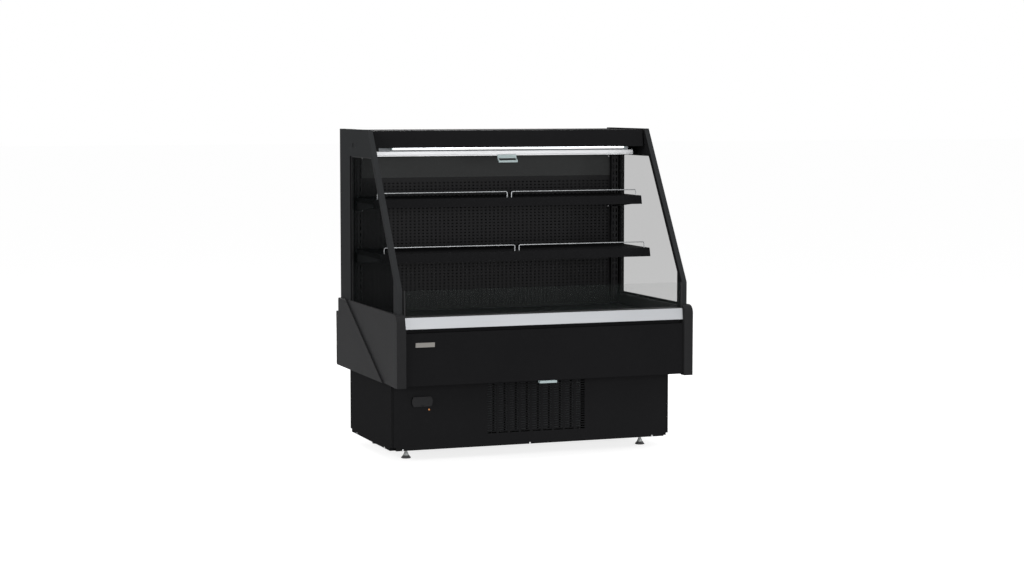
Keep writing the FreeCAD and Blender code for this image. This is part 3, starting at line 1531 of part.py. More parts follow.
# ---------------------------------------------------------------- write every node
def build():
    os.makedirs("parts", exist_ok=True)
    for name, make in (("bumper", right_bumper), ("end_frame", right_end_frame)):
        piece = make()
        save("right_" + name, piece)
        save("left_" + name, mirrored(piece))
    save("glass_seals", group(both_ends(right_window_seal()) + both_ends(right_glass_end_seal())))
    save("side_glasses", group(both_ends(right_side_glass())))
    save("base_side_panels", group(both_ends(right_base_panel())))
    save("shelf_uprights", group(both_ends(right_upright())))

    for make in (front_glass, nose_rail, upper_front_panel, nameplate, cabinet_foam, tub_shell,
                 rear_outer_panel, cabinet_liner, perforated_back_panel, upper_back_panel,
                 return_air_grille, canopy_top, canopy_header, lamp, air_outlet, curtain_roll,
                 curtain_bar, curtain_handle, curtain_catch, base_frame, panel_screws,
                 lower_front_panel, rear_service_panel, fan_motors, evaporator_fan_panel,
                 evaporator_coil, condenser_coil, condenser_shroud, compressor,
                 copper_pipes, electrical_box, controller, controller_cover, indicator_lamp, cable_gland):
        save(make.__name__, make())

    for name, shelf_z, shelf_front_y in (("top", top_shelf_z, top_shelf_front_y),
                                         ("middle", middle_shelf_z, middle_shelf_front_y)):
        save(name + "_shelf", shelf(shelf_z, shelf_front_y))
        save(name + "_shelf_brackets", shelf_brackets(shelf_z, shelf_front_y))
        for side, side_name in ((-1, "left"), (1, "right")):
            save(name + "_" + side_name + "_stop", wire_stop(shelf_z, shelf_front_y, side))

    for index in range(deck_pan_count):
        save("deck_pan_" + str(index + 1), deck_pan(index))
    for index, (x, y) in enumerate(foot_places()):
        save("levelling_foot_" + str(index + 1), levelling_foot(x, y))
    for index, centre in enumerate(evaporator_fan_centres()):
        save("evaporator_fan_" + str(index + 1), fan_with_shaft(centre, evaporator_fan_radius, -1))
    save("condenser_fan", fan_with_shaft(condenser_fan_centre(), condenser_fan_radius, 1))


build()
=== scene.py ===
import math

import bmesh
import bpy
from mathutils import Matrix, Vector


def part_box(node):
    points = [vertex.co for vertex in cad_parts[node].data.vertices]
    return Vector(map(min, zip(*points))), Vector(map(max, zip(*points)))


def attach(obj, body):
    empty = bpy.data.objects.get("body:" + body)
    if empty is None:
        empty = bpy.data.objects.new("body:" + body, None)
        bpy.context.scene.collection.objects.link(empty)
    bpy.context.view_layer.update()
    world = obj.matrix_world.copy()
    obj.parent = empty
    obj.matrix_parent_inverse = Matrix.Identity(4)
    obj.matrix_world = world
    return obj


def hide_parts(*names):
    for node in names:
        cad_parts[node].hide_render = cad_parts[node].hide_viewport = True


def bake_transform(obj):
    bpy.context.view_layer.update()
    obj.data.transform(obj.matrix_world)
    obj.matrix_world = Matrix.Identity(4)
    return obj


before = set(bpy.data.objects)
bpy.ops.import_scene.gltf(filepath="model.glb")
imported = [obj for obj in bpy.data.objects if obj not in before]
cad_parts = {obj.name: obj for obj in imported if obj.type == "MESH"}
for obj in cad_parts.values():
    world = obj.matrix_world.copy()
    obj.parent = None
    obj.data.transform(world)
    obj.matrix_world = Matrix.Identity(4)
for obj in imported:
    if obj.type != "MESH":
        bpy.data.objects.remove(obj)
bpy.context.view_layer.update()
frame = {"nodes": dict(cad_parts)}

bl_info = {
    "name": "Open Display Fridge",
    "version": (1, 0, 0),
    "blender": (4, 5, 0),
    "location": "View3D > Sidebar > Fridge",
    "description": "Dresses an open multideck display fridge around its packed solids",
    "category": "Object",
}

# ---------------------------------------------------------------- places and sizes, in metres
MM = 0.001
NODES = frame["nodes"]
SLOT_OF = {name: node.material_slots[0].name.split(".")[0] for name, node in NODES.items()}
SHEET = 1.5 * MM

CAMERA_PLACE = (-3.1947, -8.6055, 1.4645)
CAMERA_YAW = 20.39              # degrees to the right of straight ahead
CAMERA_PITCH = 4.96             # degrees down
CAMERA_LENS = 76.8              # millimetres, on the sensor below
SENSOR_WIDTH = 36.0             # millimetres

WORLD_LIGHT = 0.42              # what the white surroundings give; the eye sees them at 1
FLOOR_HALF = 60.0
FLOOR_DROP = 0.0002             # keeps the floor clear of the feet
FLOOR_GLOW = 0.8
FLOOR_GREYS = (0.44, 0.46)
# The lights: name, place, what it points at, width and height, watts
LAMPS = (
    ("key", (-5.2, -1.4, 2.2), (0, 0, 0.7), (2.6, 2.6), 145),
    ("front fill", (0.9, -6.2, 1.0), (0, 0, 0.6), (4.5, 1.8), 200),
    ("top", (0, -0.4, 4.2), (0, 0, 0.6), (3.0, 2.4), 60),
    ("right", (4.8, 0.6, 2.2), (0, 0, 0.7), (2.4, 2.4), 90),
    ("rear", (0.6, 5.0, 2.2), (0, 0, 0.7), (3.0, 2.4), 110),
)

# Nodes that keep their own shape with softened edges: node -> edge radius in millimetres
SOFTENED = {
    "left_end_frame": 1.2,
    "right_end_frame": 1.2,
    "base_side_panels": 0.5,
    "rear_service_panel": 0.4,
    "tub_shell": 0.5,
    "cabinet_liner": 0.5,
    "rear_outer_panel": 0.4,
    "upper_front_panel": 0.6,
    "upper_back_panel": 0.5,
    "canopy_top": 0.5,
    "canopy_header": 0.7,
    "shelf_uprights": 0.4,
    "top_shelf": 0.5,
    "middle_shelf": 0.5,
    "top_shelf_brackets": 0.4,
    "middle_shelf_brackets": 0.4,
    "deck_pan_1": 0.6,
    "deck_pan_2": 0.6,
    "return_air_grille": 0.5,
    "front_glass": 0.5,
    "side_glasses": 0.5,
    "glass_seals": 0.4,
    "base_frame": 0.6,
    "evaporator_fan_panel": 0.4,
    "condenser_shroud": 0.4,
    "fan_motors": 0.6,
    "electrical_box": 0.6,
    "curtain_bar": 0.5,
    "curtain_handle": 1.1,
    "curtain_catch": 0.9,
    "controller": 0.4,
    "controller_cover": 0.6,
    "nameplate": 0.2,
    "nose_rail": 0.9,
    "cabinet_foam": 1.5,
    "air_outlet": 0.2,
    "compressor": 0.8,
    "cable_gland": 0.6,
}

# Which nodes only get smooth round sides and a finish
SMOOTHED = ("top_left_stop", "top_right_stop", "middle_left_stop", "middle_right_stop", "copper_pipes")

# Which body a node rides on, where that isn't the cabinet
BODY_OF = {name: name for name in (
    "top_shelf", "middle_shelf", "controller_cover", "deck_pan_1", "deck_pan_2", "return_air_grille",
    "top_left_stop", "top_right_stop", "middle_left_stop", "middle_right_stop")}
BODY_OF.update({
    "top_shelf_brackets": "top_shelf",
    "middle_shelf_brackets": "middle_shelf",
    "curtain_bar": "curtain",
    "curtain_handle": "curtain",
})


def linear(red, green, blue):
    """A colour given in 0-255 steps, as the numbers that shaders work in."""
    def one(step):
        share = step / 255
        return share / 12.92 if share <= 0.04045 else ((share + 0.055) / 1.055) ** 2.4
    return (one(red), one(green), one(blue), 1.0)


def shaded(colour, share, lift=0.0):
    """A linear colour made darker or lighter by a share, and raised by a little."""
    return tuple(channel * share + lift for channel in colour[:3]) + (1.0,)


# ---------------------------------------------------------------- node boards
class Board:
    """A node tree that is built by code."""

    def __init__(self, tree):
        self.tree = tree

    def node(self, kind, settings=None, inputs=None):
        """A node of one type: its settings first, then the values or links of its sockets."""
        made = self.tree.nodes.new(kind)
        for name, value in (settings or {}).items():
            if name == "stops":
                self.set_stops(made.color_ramp, value)
            else:
                setattr(made, name, value)
        for name, value in (inputs or {}).items():
            self.feed(made.inputs[name], value)
        return made

    def set_stops(self, ramp, stops):
        """A ramp's (place, brightness) stops."""
        while len(ramp.elements) < len(stops):
            ramp.elements.new(1.0)
        for element, (place, grey) in zip(ramp.elements, stops):
            element.position = place
            element.color = (grey, grey, grey, 1.0)

    def feed(self, socket, value):
        """Link a wrapped or plain socket, or set a value."""
        if isinstance(value, Sum):
            self.tree.links.new(value.socket, socket)
        elif isinstance(value, bpy.types.NodeSocket):
            self.tree.links.new(value, socket)
        elif value is not None:
            socket.default_value = value


class Sum:
    """A socket that can be used in Python sums."""

    def __init__(self, board, socket):
        self.board = board
        self.socket = socket

    def with_other(self, operation, first, second):
        node = self.board.node("ShaderNodeMath", {"operation": operation}, {0: first, 1: second})
        return Sum(self.board, node.outputs[0])

    def __add__(self, other):
        return self.with_other("ADD", self, other)

    def __radd__(self, other):
        return self.with_other("ADD", other, self)

    def __sub__(self, other):
        return self.with_other("SUBTRACT", self, other)

    def __rsub__(self, other):
        return self.with_other("SUBTRACT", other, self)

    def __mul__(self, other):
        return self.with_other("MULTIPLY", self, other)

    def __rmul__(self, other):
        return self.with_other("MULTIPLY", other, self)

    def __truediv__(self, other):
        return self.with_other("DIVIDE", self, other)


class Finish(Board):
    """One procedural material on object coordinates."""

    def __init__(self, name):
        self.material = bpy.data.materials.new(name)
        self.material.use_nodes = True
        super().__init__(self.material.node_tree)
        self.tree.nodes.clear()
        self.end = self.node("ShaderNodeOutputMaterial")
        self.where = self.node("ShaderNodeTexCoord").outputs["Object"]

    def stretched(self, scale):
        """Object coordinates scaled along the three axes."""
        return self.node("ShaderNodeMapping", {"vector_type": "POINT"},
                         {"Vector": self.where, "Scale": scale}).outputs[0]

    def noise(self, scale, detail=2.0, rough=0.5, vector=None):
        made = self.node("ShaderNodeTexNoise", None, {
            "Vector": vector or self.where, "Scale": scale, "Detail": detail, "Roughness": rough})
        return Sum(self, made.outputs[0])

    def cells(self, scale):
        """Small rounded cells."""
        made = self.node("ShaderNodeTexVoronoi", {"feature": "F1"}, {"Vector": self.where, "Scale": scale})
        return Sum(self, made.outputs[0])

    def ramp(self, value, stops):
        return Sum(self, self.node("ShaderNodeValToRGB", {"stops": stops}, {0: value}).outputs[0])

    def mix(self, share, first, second):
        """Two colours mixed by a share from 0 to 1."""
        node = self.node("ShaderNodeMix", {"data_type": "RGBA"}, {0: share, 6: first, 7: second})
        return Sum(self, node.outputs[2])

    def bump(self, height, distance, strength=1.0):
        made = self.node("ShaderNodeBump", None,
                         {"Height": height, "Distance": distance, "Strength": strength})
        return Sum(self, made.outputs[0])

    def surface(self, settings):
        """The main shader, linked to the output."""
        shader = self.node("ShaderNodeBsdfPrincipled", None, settings)
        self.feed(self.end.inputs["Surface"], shader.outputs[0])
        return self.material


# ---------------------------------------------------------------- finishes
def painted(name, colour, roughness, gloss, grain=950.0, depth=0.00006, drift=0.16):
    """Powder-coated sheet: fine orange peel, a slow drift of tone and faint dust."""
    board = Finish(name)
    cloud = board.noise(2.3, 4.0, 0.55)
    peel = board.noise(grain, 2.0, 0.6)
    dust = board.ramp(board.noise(46.0, 6.0, 0.7), [(0.52, 0.0), (0.78, 1.0)])
    dark = shaded(colour, 1 - drift)
    light = shaded(colour, 1 + drift)
    tone = board.mix(cloud, dark, light)
    dusty = shaded(colour, 1.25, 0.0012)
    return board.surface({
        "Base Color": board.mix(dust * 0.35, tone, dusty),
        "Roughness": roughness + (cloud - 0.5) * 0.12 + dust * 0.05,
        "Specular IOR Level": gloss,
        "Normal": board.bump(peel, depth),
    })


def moulded(name, colour, roughness, gloss, grain=700.0, depth=0.00009, mottle=0.1):
    """Moulded plastic with a spark-eroded grain and a soft mottle."""
    board = Finish(name)
    pebbles = board.cells(grain)
    speck = board.noise(grain * 0.6, 3.0, 0.7)
    cloud = board.noise(3.1, 5.0, 0.6)
    blotch = board.noise(95.0, 4.0, 0.75)
    share = board.ramp(cloud * 0.5 + blotch * 0.5, [(0.3, 0.0), (0.7, 1.0)])
    dark = shaded(colour, 1 - mottle)
    light = shaded(colour, 1 + mottle)
    return board.surface({
        "Base Color": board.mix(share, dark, light),
        "Roughness": roughness + (speck - 0.5) * 0.15,
        "Specular IOR Level": gloss,
        "Normal": board.bump(pebbles * 0.7 + speck * 0.3, depth),
    })


def brushed(name, colour, roughness, along, depth=0.00002, metal=1.0):
    """Metal brushed or drawn along one axis."""
    board = Finish(name)
    scale = [900.0, 900.0, 900.0]
    scale["xyz".index(along)] = 6.0
    streaks = board.noise(1.0, 3.0, 0.6, board.stretched(scale))
    cloud = board.noise(4.0, 3.0, 0.5)
    dark = shaded(colour, 0.86)
    return board.surface({
        "Base Color": board.mix(streaks * 0.6 + cloud * 0.4, dark, colour),
        "Metallic": metal,
        "Roughness": roughness + (streaks - 0.5) * 0.18 + (cloud - 0.5) * 0.08,
        "Normal": board.bump(streaks, depth),
    })


def cast_metal(name, colour, roughness, grain, depth, metal=1.0):
    """Plated, cast or drawn metal with a fine grain and a few dull spots."""
    board = Finish(name)
    grit = board.noise(grain, 4.0, 0.65)
    spots = board.ramp(board.noise(60.0, 5.0, 0.7), [(0.48, 0.0), (0.7, 1.0)])
    dull = shaded(colour, 0.62)
    return board.surface({
        "Base Color": board.mix(spots * 0.5 + (grit - 0.5) * 0.2, colour, dull),
        "Metallic": metal,
        "Roughness": roughness + spots * 0.16 + (grit - 0.5) * 0.1,
        "Normal": board.bump(grit, depth),
    })


def glass(name, shade, cover, gloss):
    """A tinted pane: mostly see-through, with faint smears."""
    board = Finish(name)
    smear = board.noise(7.0, 5.0, 0.65, board.stretched((1.0, 1.0, 0.35)))
    return board.surface({
        "Base Color": shade,
        "Roughness": 0.03 + smear * 0.05,
        "Specular IOR Level": gloss,
        "Alpha": cover + (smear - 0.5) * 0.01,
    })


def rubber(name, colour):
    """Dull rubber with a fine grit and a pale bloom."""
    board = Finish(name)
    grit = board.noise(1400.0, 3.0, 0.7)
    bloom = board.noise(30.0, 5.0, 0.6)
    pale = shaded(colour, 1.7, 0.002)
    return board.surface({
        "Base Color": board.mix(bloom, colour, pale),
        "Roughness": 0.62 + grit * 0.2,
        "Specular IOR Level": 0.25,
        "Normal": board.bump(grit, 0.00008),
    })


def glowing(name, colour, strength, lens):
    """A lit diffuser or lens: prismatic ribs over an even light."""
    board = Finish(name)
    ribs = board.node("ShaderNodeTexWave", {"wave_type": "BANDS", "bands_direction": lens},
                      {"Vector": board.where, "Scale": 260.0, "Distortion": 0.0})
    cloud = board.noise(12.0, 2.0, 0.5)
    dim = shaded(colour, 0.93)
    lit = board.mix(cloud, dim, colour)
    return board.surface({
        "Base Color": lit,
        "Roughness": 0.35 + cloud * 0.1,
        "Emission Color": lit,
        "Emission Strength": strength,
        "Normal": board.bump(ribs.outputs[0], 0.00015),
    })


def foam(name, colour):
    """Rigid foam with open cells under a darker crust."""
    board = Finish(name)
    cells = board.cells(420.0)
    crust = board.noise(22.0, 6.0, 0.7)
    burnt = shaded(colour, 0.7)
    return board.surface({
        "Base Color": board.mix(crust, burnt, colour),
        "Roughness": 0.86 + cells * 0.1,
        "Normal": board.bump(cells * 0.6 + crust * 0.4, 0.0006),
    })


def woven(name, colour):
    """Coated blind cloth with a plain weave."""
    board = Finish(name)
    warp = board.node("ShaderNodeTexWave", {"wave_type": "BANDS", "bands_direction": "X"},
                      {"Vector": board.where, "Scale": 330.0, "Distortion": 0.6})
    weft = board.node("ShaderNodeTexWave", {"wave_type": "BANDS", "bands_direction": "Z"},
                      {"Vector": board.where, "Scale": 330.0, "Distortion": 0.6})
    weave = Sum(board, warp.outputs[1]) * 0.5 + Sum(board, weft.outputs[1]) * 0.5
    cloud = board.noise(9.0, 4.0, 0.6)
    dark = shaded(colour, 0.75)
    return board.surface({
        "Base Color": board.mix(weave * 0.6 + cloud * 0.4, dark, colour),
        "Roughness": 0.7 + (cloud - 0.5) * 0.15,
        "Normal": board.bump(weave, 0.0002),
    })


def picked(colour):
    """The linear colour of a picked one."""
    return linear(*(channel * 255 for channel in colour))


def make_finishes(colours):
    """Every finish by name: one for each material slot of the record, and a few more."""
    return {
        "black_sheet": painted("black_sheet", picked(colours.sheet), 0.58, 0.002),
        # The lower front panel's sheet: the black sheet painted lighter, to cancel the shade it gets under
        # the upper panel
        "low_sheet": painted("low_sheet", picked(colours.low_sheet), 0.58, 0.002),
        "inner_sheet": painted("inner_sheet", picked(colours.inner), 0.42, 0.03),
        # The upper back panel: the inner sheet painted lighter, as painted light standing in for the strip
        # lamp's glow on it
        "plain_back": painted("plain_back", picked(colours.plain_back), 0.45, 0.03),
        "frame_grey": painted("frame_grey", picked(colours.frame), 0.55, 0.002, 800.0, 0.00008),
        "bumper_grey": moulded("bumper_grey", picked(colours.bumper), 0.6, 0.03),
        "rail_aluminium": brushed("rail_aluminium", picked(colours.rail), 0.45, "x", 0.00002, 0.3),
        # The curtain bar: the rail's aluminium painted lighter, as painted light from the strip lamp just
        # above it
        "bar_aluminium": brushed("bar_aluminium", picked(colours.bar), 0.45, "x", 0.00002, 0.3),
        "clear_glass": glass("clear_glass", (0.003, 0.004, 0.004, 1.0), 0.27, 0.0),
        "riser_glass": glass("riser_glass", (0.05, 0.062, 0.058, 1.0), 0.05, 0.02),
        "black_rubber": rubber("black_rubber", linear(22, 22, 23)),
        "blank_plate": brushed("blank_plate", picked(colours.plate), 0.45, "x", 0.00001, 0.15),
        "insulation": foam("insulation", linear(214, 196, 150)),
        "lamp_diffuser": glowing("lamp_diffuser", (1.0, 0.985, 0.96, 1.0), colours.lamp_strength, "X"),
        "lamp_housing": brushed("lamp_housing", linear(205, 208, 210), 0.3, "x"),
        "honeycomb": moulded("honeycomb", linear(52, 54, 56), 0.5, 0.3, 900.0, 0.00004),
        "finned_aluminium": brushed("finned_aluminium", linear(196, 199, 202), 0.36, "z"),
        # Black paint for the condenser coil; its darkness is partly painted shade for the space seen behind
        # the grille slots
        "fins_black": brushed("fins_black", linear(34, 34, 35), 0.5, "z", 0.00002, 0.2),
        "copper": cast_metal("copper", linear(196, 122, 84), 0.28, 500.0, 0.00003),
        "compressor_black": painted("compressor_black", linear(24, 24, 26), 0.3, 0.45, 500.0, 0.00012),
        "control_plastic": moulded("control_plastic", linear(46, 46, 47), 0.4, 0.004, 1500.0, 0.00003),
        "cover_tab": moulded("cover_tab", linear(84, 84, 85), 0.4, 0.01, 1500.0, 0.00003),
        "indicator_orange": glowing("indicator_orange", linear(190, 122, 62), 0.25, "Z"),
        "chrome_wire": cast_metal("chrome_wire", linear(150, 152, 154), 0.35, 900.0, 0.00001, 0.6),
        "handle_plastic": moulded(
            "handle_plastic", picked(colours.handle), 0.4, 0.05, 1300.0, 0.00003, 0.04),
        "curtain_cloth": woven("curtain_cloth", linear(150, 154, 158)),
        "fan_plastic": moulded("fan_plastic", linear(30, 30, 31), 0.45, 0.3, 1200.0, 0.00003),
        "motor_metal": cast_metal("motor_metal", linear(150, 152, 155), 0.36, 700.0, 0.00006),
        "foot_zinc": cast_metal("foot_zinc", linear(176, 179, 178), 0.45, 800.0, 0.00005, 0.1),
        "foot_pad_rubber": rubber("foot_pad_rubber", linear(68, 68, 69)),
        "screw_steel": cast_metal("screw_steel", linear(214, 215, 216), 0.3, 1100.0, 0.00002, 0.3),
        "gland_plastic": moulded("gland_plastic", linear(28, 28, 29), 0.4, 0.35, 1300.0, 0.00003),
    }


FINISHES = {}
# Nodes whose finish isn't the one of their material slot
SPECIAL_FINISH = {
    "front_glass": "riser_glass",
    # painted light: the lower front panel gets a lighter copy of the black sheet, against its shade
    "lower_front_panel": "low_sheet",
    "top_shelf_brackets": "frame_grey",
    "middle_shelf_brackets": "frame_grey",
    # black paint on the condenser, partly painted shade for the space behind the grille
    "condenser_coil": "fins_black",
    # painted light: a lighter copy of the rail's aluminium, for the lamp's light on the bar
    "curtain_bar": "bar_aluminium",
    # painted light: a lighter copy of the inner sheet stands in for the lamp's glow
    "upper_back_panel": "plain_back",
}


# ---------------------------------------------------------------- mesh helpers
def new_piece(name, mesh, body, slot, *nodes):
    """An object at the origin that rides on a body and stands for CAD nodes."""
    piece = bpy.data.objects.new(name, mesh)
    bpy.context.scene.collection.objects.link(piece)
    if not mesh.materials:
        mesh.materials.append(FINISHES[slot])
    if body is not None:
        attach(piece, body)
    if nodes:
        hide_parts(*nodes)
    return piece


def mesh_from(shape, name):
    """A mesh out of a bmesh, with its normals pointing out."""
    bmesh.ops.recalc_face_normals(shape, faces=shape.faces)
    mesh = bpy.data.meshes.new(name)
    shape.to_mesh(mesh)
    shape.free()
    return mesh


def merged_copy(node):
    """A CAD node's shape with its doubles merged and its flat triangles joined."""
    shape = bmesh.new()
    shape.from_mesh(NODES[node].data)
    bmesh.ops.remove_doubles(shape, verts=shape.verts, dist=1e-6)
    bmesh.ops.dissolve_limit(shape, angle_limit=math.radians(1), verts=shape.verts, edges=shape.edges)
    return shape


def round_off(piece, width, segments=2, angle=38):
    """Soften a piece's edges and bake the result into its mesh."""
    for face in piece.data.polygons:
        face.use_smooth = True
    bevel = piece.modifiers.new("soft edges", "BEVEL")
    bevel.width = width
    bevel.segments = segments
    bevel.limit_method = "ANGLE"
    bevel.angle_limit = math.radians(angle)
    return flattened(piece)


def flattened(piece):
    """Give a piece normals that follow its large faces, and bake them."""
    for face in piece.data.polygons:
        face.use_smooth = True
    steady = piece.modifiers.new("steady normals", "WEIGHTED_NORMAL")
    steady.keep_sharp = True
    return bake(piece)


def bake(piece):
    """Swap a piece's mesh for its evaluated one and drop the modifiers."""
    graph = bpy.context.evaluated_depsgraph_get()
    mesh = bpy.data.meshes.new_from_object(piece.evaluated_get(graph))
    piece.modifiers.clear()
    piece.data = mesh
    return piece


def smooth_between(mesh, angle):
    """Smooth shading that breaks at edges sharper than an angle in degrees."""
    mesh.shade_smooth()
    mesh.set_sharp_from_angle(angle=math.radians(angle))


def own_shape(node, prefix, shape=None):
    """A piece with a node's own shape, or an edited one, standing for it."""
    mesh = mesh_from(shape or merged_copy(node), prefix + node)
    mesh.materials.append(FINISHES[SPECIAL_FINISH.get(node, SLOT_OF[node])])
    return new_piece(prefix + node, mesh, BODY_OF.get(node, "cabinet"), SLOT_OF[node], node)


def repaint(piece, finish, wanted):
    """Put a second finish on the faces that the test picks."""
    piece.data.materials.append(FINISHES[finish])
    for face in piece.data.polygons:
        if wanted(face.center, face.normal):
            face.material_index = len(piece.data.materials) - 1


def softened(node, width, shape=None, angle=38):
    """A node's own shape with soft edges."""
    return round_off(own_shape(node, "soft_", shape), width * MM, angle=angle)


def smoothed(node, angle=35):
    """A node's own shape with smooth round sides."""
    piece = own_shape(node, "smooth_")
    smooth_between(piece.data, angle)
    return piece


def loose_boxes(node):
    """The box of each loose part of a node: (low corner, high corner)."""
    shape = merged_copy(node)
    left = set(shape.verts)
    boxes = []
    while left:
        found = {left.pop()}
        edge_of = list(found)
        while edge_of:
            for edge in edge_of.pop().link_edges:
                for vertex in edge.verts:
                    if vertex in left:
                        left.discard(vertex)
                        found.add(vertex)
                        edge_of.append(vertex)
        spots = [vertex.co for vertex in found]
        boxes.append((Vector([min(spot[axis] for spot in spots) for axis in range(3)]),
                      Vector([max(spot[axis] for spot in spots) for axis in range(3)])))
    shape.free()
    return boxes


def add_box(shape, x_range, y_range, z_range):
    """A closed block in a bmesh, from ranges in metres."""
    corners = [shape.verts.new((x, y, z)) for x in x_range for y in y_range for z in z_range]
    for face in ((0, 1, 3, 2), (4, 6, 7, 5), (0, 4, 5, 1), (2, 3, 7, 6), (0, 2, 6, 4), (1, 5, 7, 3)):
        shape.faces.new([corners[index] for index in face])


def add_prism(shape, outline, x_range):
    """A (y, z) outline drawn out along X, closed at both ends."""
    rings = [[shape.verts.new((x, y, z)) for y, z in outline] for x in x_range]
    count = len(outline)
    for index in range(count):
        after = (index + 1) % count
        shape.faces.new((rings[0][index], rings[0][after], rings[1][after], rings[1][index]))
    shape.faces.new(rings[0][::-1])
    shape.faces.new(rings[1])


def add_turned(shape, profile, steps=32, turn=None):
    """A (radius, height) profile turned about Z; ends on the axis are single points."""
    rings = []
    for radius, height in profile:
        if radius < 1e-7:
            rings.append([shape.verts.new((0, 0, height))])
        else:
            rings.append([shape.verts.new((radius * math.cos(2 * math.pi * step / steps),
                                           radius * math.sin(2 * math.pi * step / steps), height))
                          for step in range(steps)])
    for low, high in zip(rings, rings[1:]):
        for step in range(steps):
            after = (step + 1) % steps
            corners = [low[step % len(low)], low[after % len(low)],
                       high[after % len(high)], high[step % len(high)]]
            distinct = list(dict.fromkeys(corners))
            shape.faces.new(distinct)
    made = [vertex for ring in rings for vertex in ring]
    if turn is not None:
        bmesh.ops.transform(shape, matrix=turn, verts=made)
    return made


def add_wire(shape, points, radius, steps=10):
    """A round wire through points, closed at both ends."""
    rings = []
    for index, point in enumerate(points):
        before = points[max(index - 1, 0)]
        after = points[min(index + 1, len(points) - 1)]
        heading = (Vector(after) - Vector(before)).normalized()
        frame_turn = heading.to_track_quat("Z", "Y").to_matrix()
        turns = [2 * math.pi * step / steps for step in range(steps)]
        rings.append([shape.verts.new(Vector(point) + frame_turn @ Vector(
            (radius * math.cos(turn), radius * math.sin(turn), 0))) for turn in turns])
    for low, high in zip(rings, rings[1:]):
        for step in range(steps):
            after = (step + 1) % steps
            shape.faces.new((low[step], low[after], high[after], high[step]))
    shape.faces.new(rings[0][::-1])
    shape.faces.new(rings[-1])


# ---------------------------------------------------------------- geometry nodes
def new_tree(name, sockets):
    """A geometry node tree with a geometry input and output and named inputs."""
    tree = bpy.data.node_groups.new(name, "GeometryNodeTree")
    tree.interface.new_socket("Geometry", in_out="INPUT", socket_type="NodeSocketGeometry")
    tree.interface.new_socket("Geometry", in_out="OUTPUT", socket_type="NodeSocketGeometry")
    for label, kind in sockets:
        tree.interface.new_socket(label, in_out="INPUT", socket_type=kind)
    board = Board(tree)
    return board, board.node("NodeGroupInput").outputs


def grid_tree():
    """Repeats a part in columns and rows and joins what touches."""
    board, given = new_tree("repeat in a grid", (
        ("Columns", "NodeSocketInt"), ("Rows", "NodeSocketInt"),
        ("Column step", "NodeSocketVector"), ("Row step", "NodeSocketVector"),
        ("Material", "NodeSocketMaterial")))
    columns = board.node("GeometryNodeMeshLine", {"mode": "OFFSET"},
                         {"Count": given["Columns"], "Offset": given["Column step"]})
    across = board.node("GeometryNodeInstanceOnPoints", None,
                        {"Points": columns.outputs[0], "Instance": given["Geometry"]})
    rows = board.node("GeometryNodeMeshLine", {"mode": "OFFSET"},
                      {"Count": given["Rows"], "Offset": given["Row step"]})
    both = board.node("GeometryNodeInstanceOnPoints", None,
                      {"Points": rows.outputs[0], "Instance": across.outputs[0]})
    real = board.node("GeometryNodeRealizeInstances", None, {0: both.outputs[0]})
    joined = board.node("GeometryNodeMergeByDistance", None,
                        {"Geometry": real.outputs[0], "Distance": 1e-5})
    dressed = board.node("GeometryNodeSetMaterial", None,
                         {"Geometry": joined.outputs[0], "Material": given["Material"]})
    board.node("NodeGroupOutput", None, {0: dressed.outputs[0]})
    return board.tree


def places_tree():
    """Puts a part on every point, its Z along the point's facing attribute."""
    board, given = new_tree("one at each place", (
        ("Part", "NodeSocketObject"), ("Material", "NodeSocketMaterial")))
    facing = board.node("GeometryNodeInputNamedAttribute", {"data_type": "FLOAT_VECTOR"},
                        {"Name": "facing"})
    turn = board.node("FunctionNodeAlignRotationToVector", {"axis": "Z"},
                      {"Vector": facing.outputs[0]})
    part = board.node("GeometryNodeObjectInfo", None, {"Object": given["Part"]})
    placed = board.node("GeometryNodeInstanceOnPoints", None, {
        "Points": given["Geometry"], "Instance": part.outputs["Geometry"], "Rotation": turn.outputs[0]})
    real = board.node("GeometryNodeRealizeInstances", None, {0: placed.outputs[0]})
    dressed = board.node("GeometryNodeSetMaterial", None,
                         {"Geometry": real.outputs[0], "Material": given["Material"]})
    board.node("NodeGroupOutput", None, {0: dressed.outputs[0]})
    return board.tree


def grown(mesh, tree, values):
    """The plain mesh that a geometry node tree makes out of another mesh."""
    seed = bpy.data.objects.new("seed", mesh)
    bpy.context.scene.collection.objects.link(seed)
    modifier = seed.modifiers.new("nodes", "NODES")
    modifier.node_group = tree
    for item in tree.interface.items_tree:
        if item.in_out == "INPUT" and item.name in values:
            modifier[item.identifier] = values[item.name]
    graph = bpy.context.evaluated_depsgraph_get()
    made = bpy.data.meshes.new_from_object(seed.evaluated_get(graph))
    bpy.data.objects.remove(seed)
    return made


def in_grid(shape, columns, rows, column_step, row_step, material):
    """A bmesh part repeated in columns and rows."""
    return grown(mesh_from(shape, "part"), grid_tree(), {
        "Columns": columns, "Rows": rows, "Column step": column_step, "Row step": row_step,
        "Material": material})


def at_places(shape, places, material):
    """A bmesh part at each (point, facing)."""
    part = bpy.data.objects.new("part", mesh_from(shape, "part"))
    bpy.context.scene.collection.objects.link(part)
    spots = bpy.data.meshes.new("spots")
    spots.from_pydata([point for point, _ in places], [], [])
    facing = spots.attributes.new("facing", "FLOAT_VECTOR", "POINT")
    for item, (_, way) in zip(facing.data, places):
        item.vector = way
    made = grown(spots, places_tree(), {"Part": part, "Material": material})
    bpy.data.objects.remove(part)
    return made


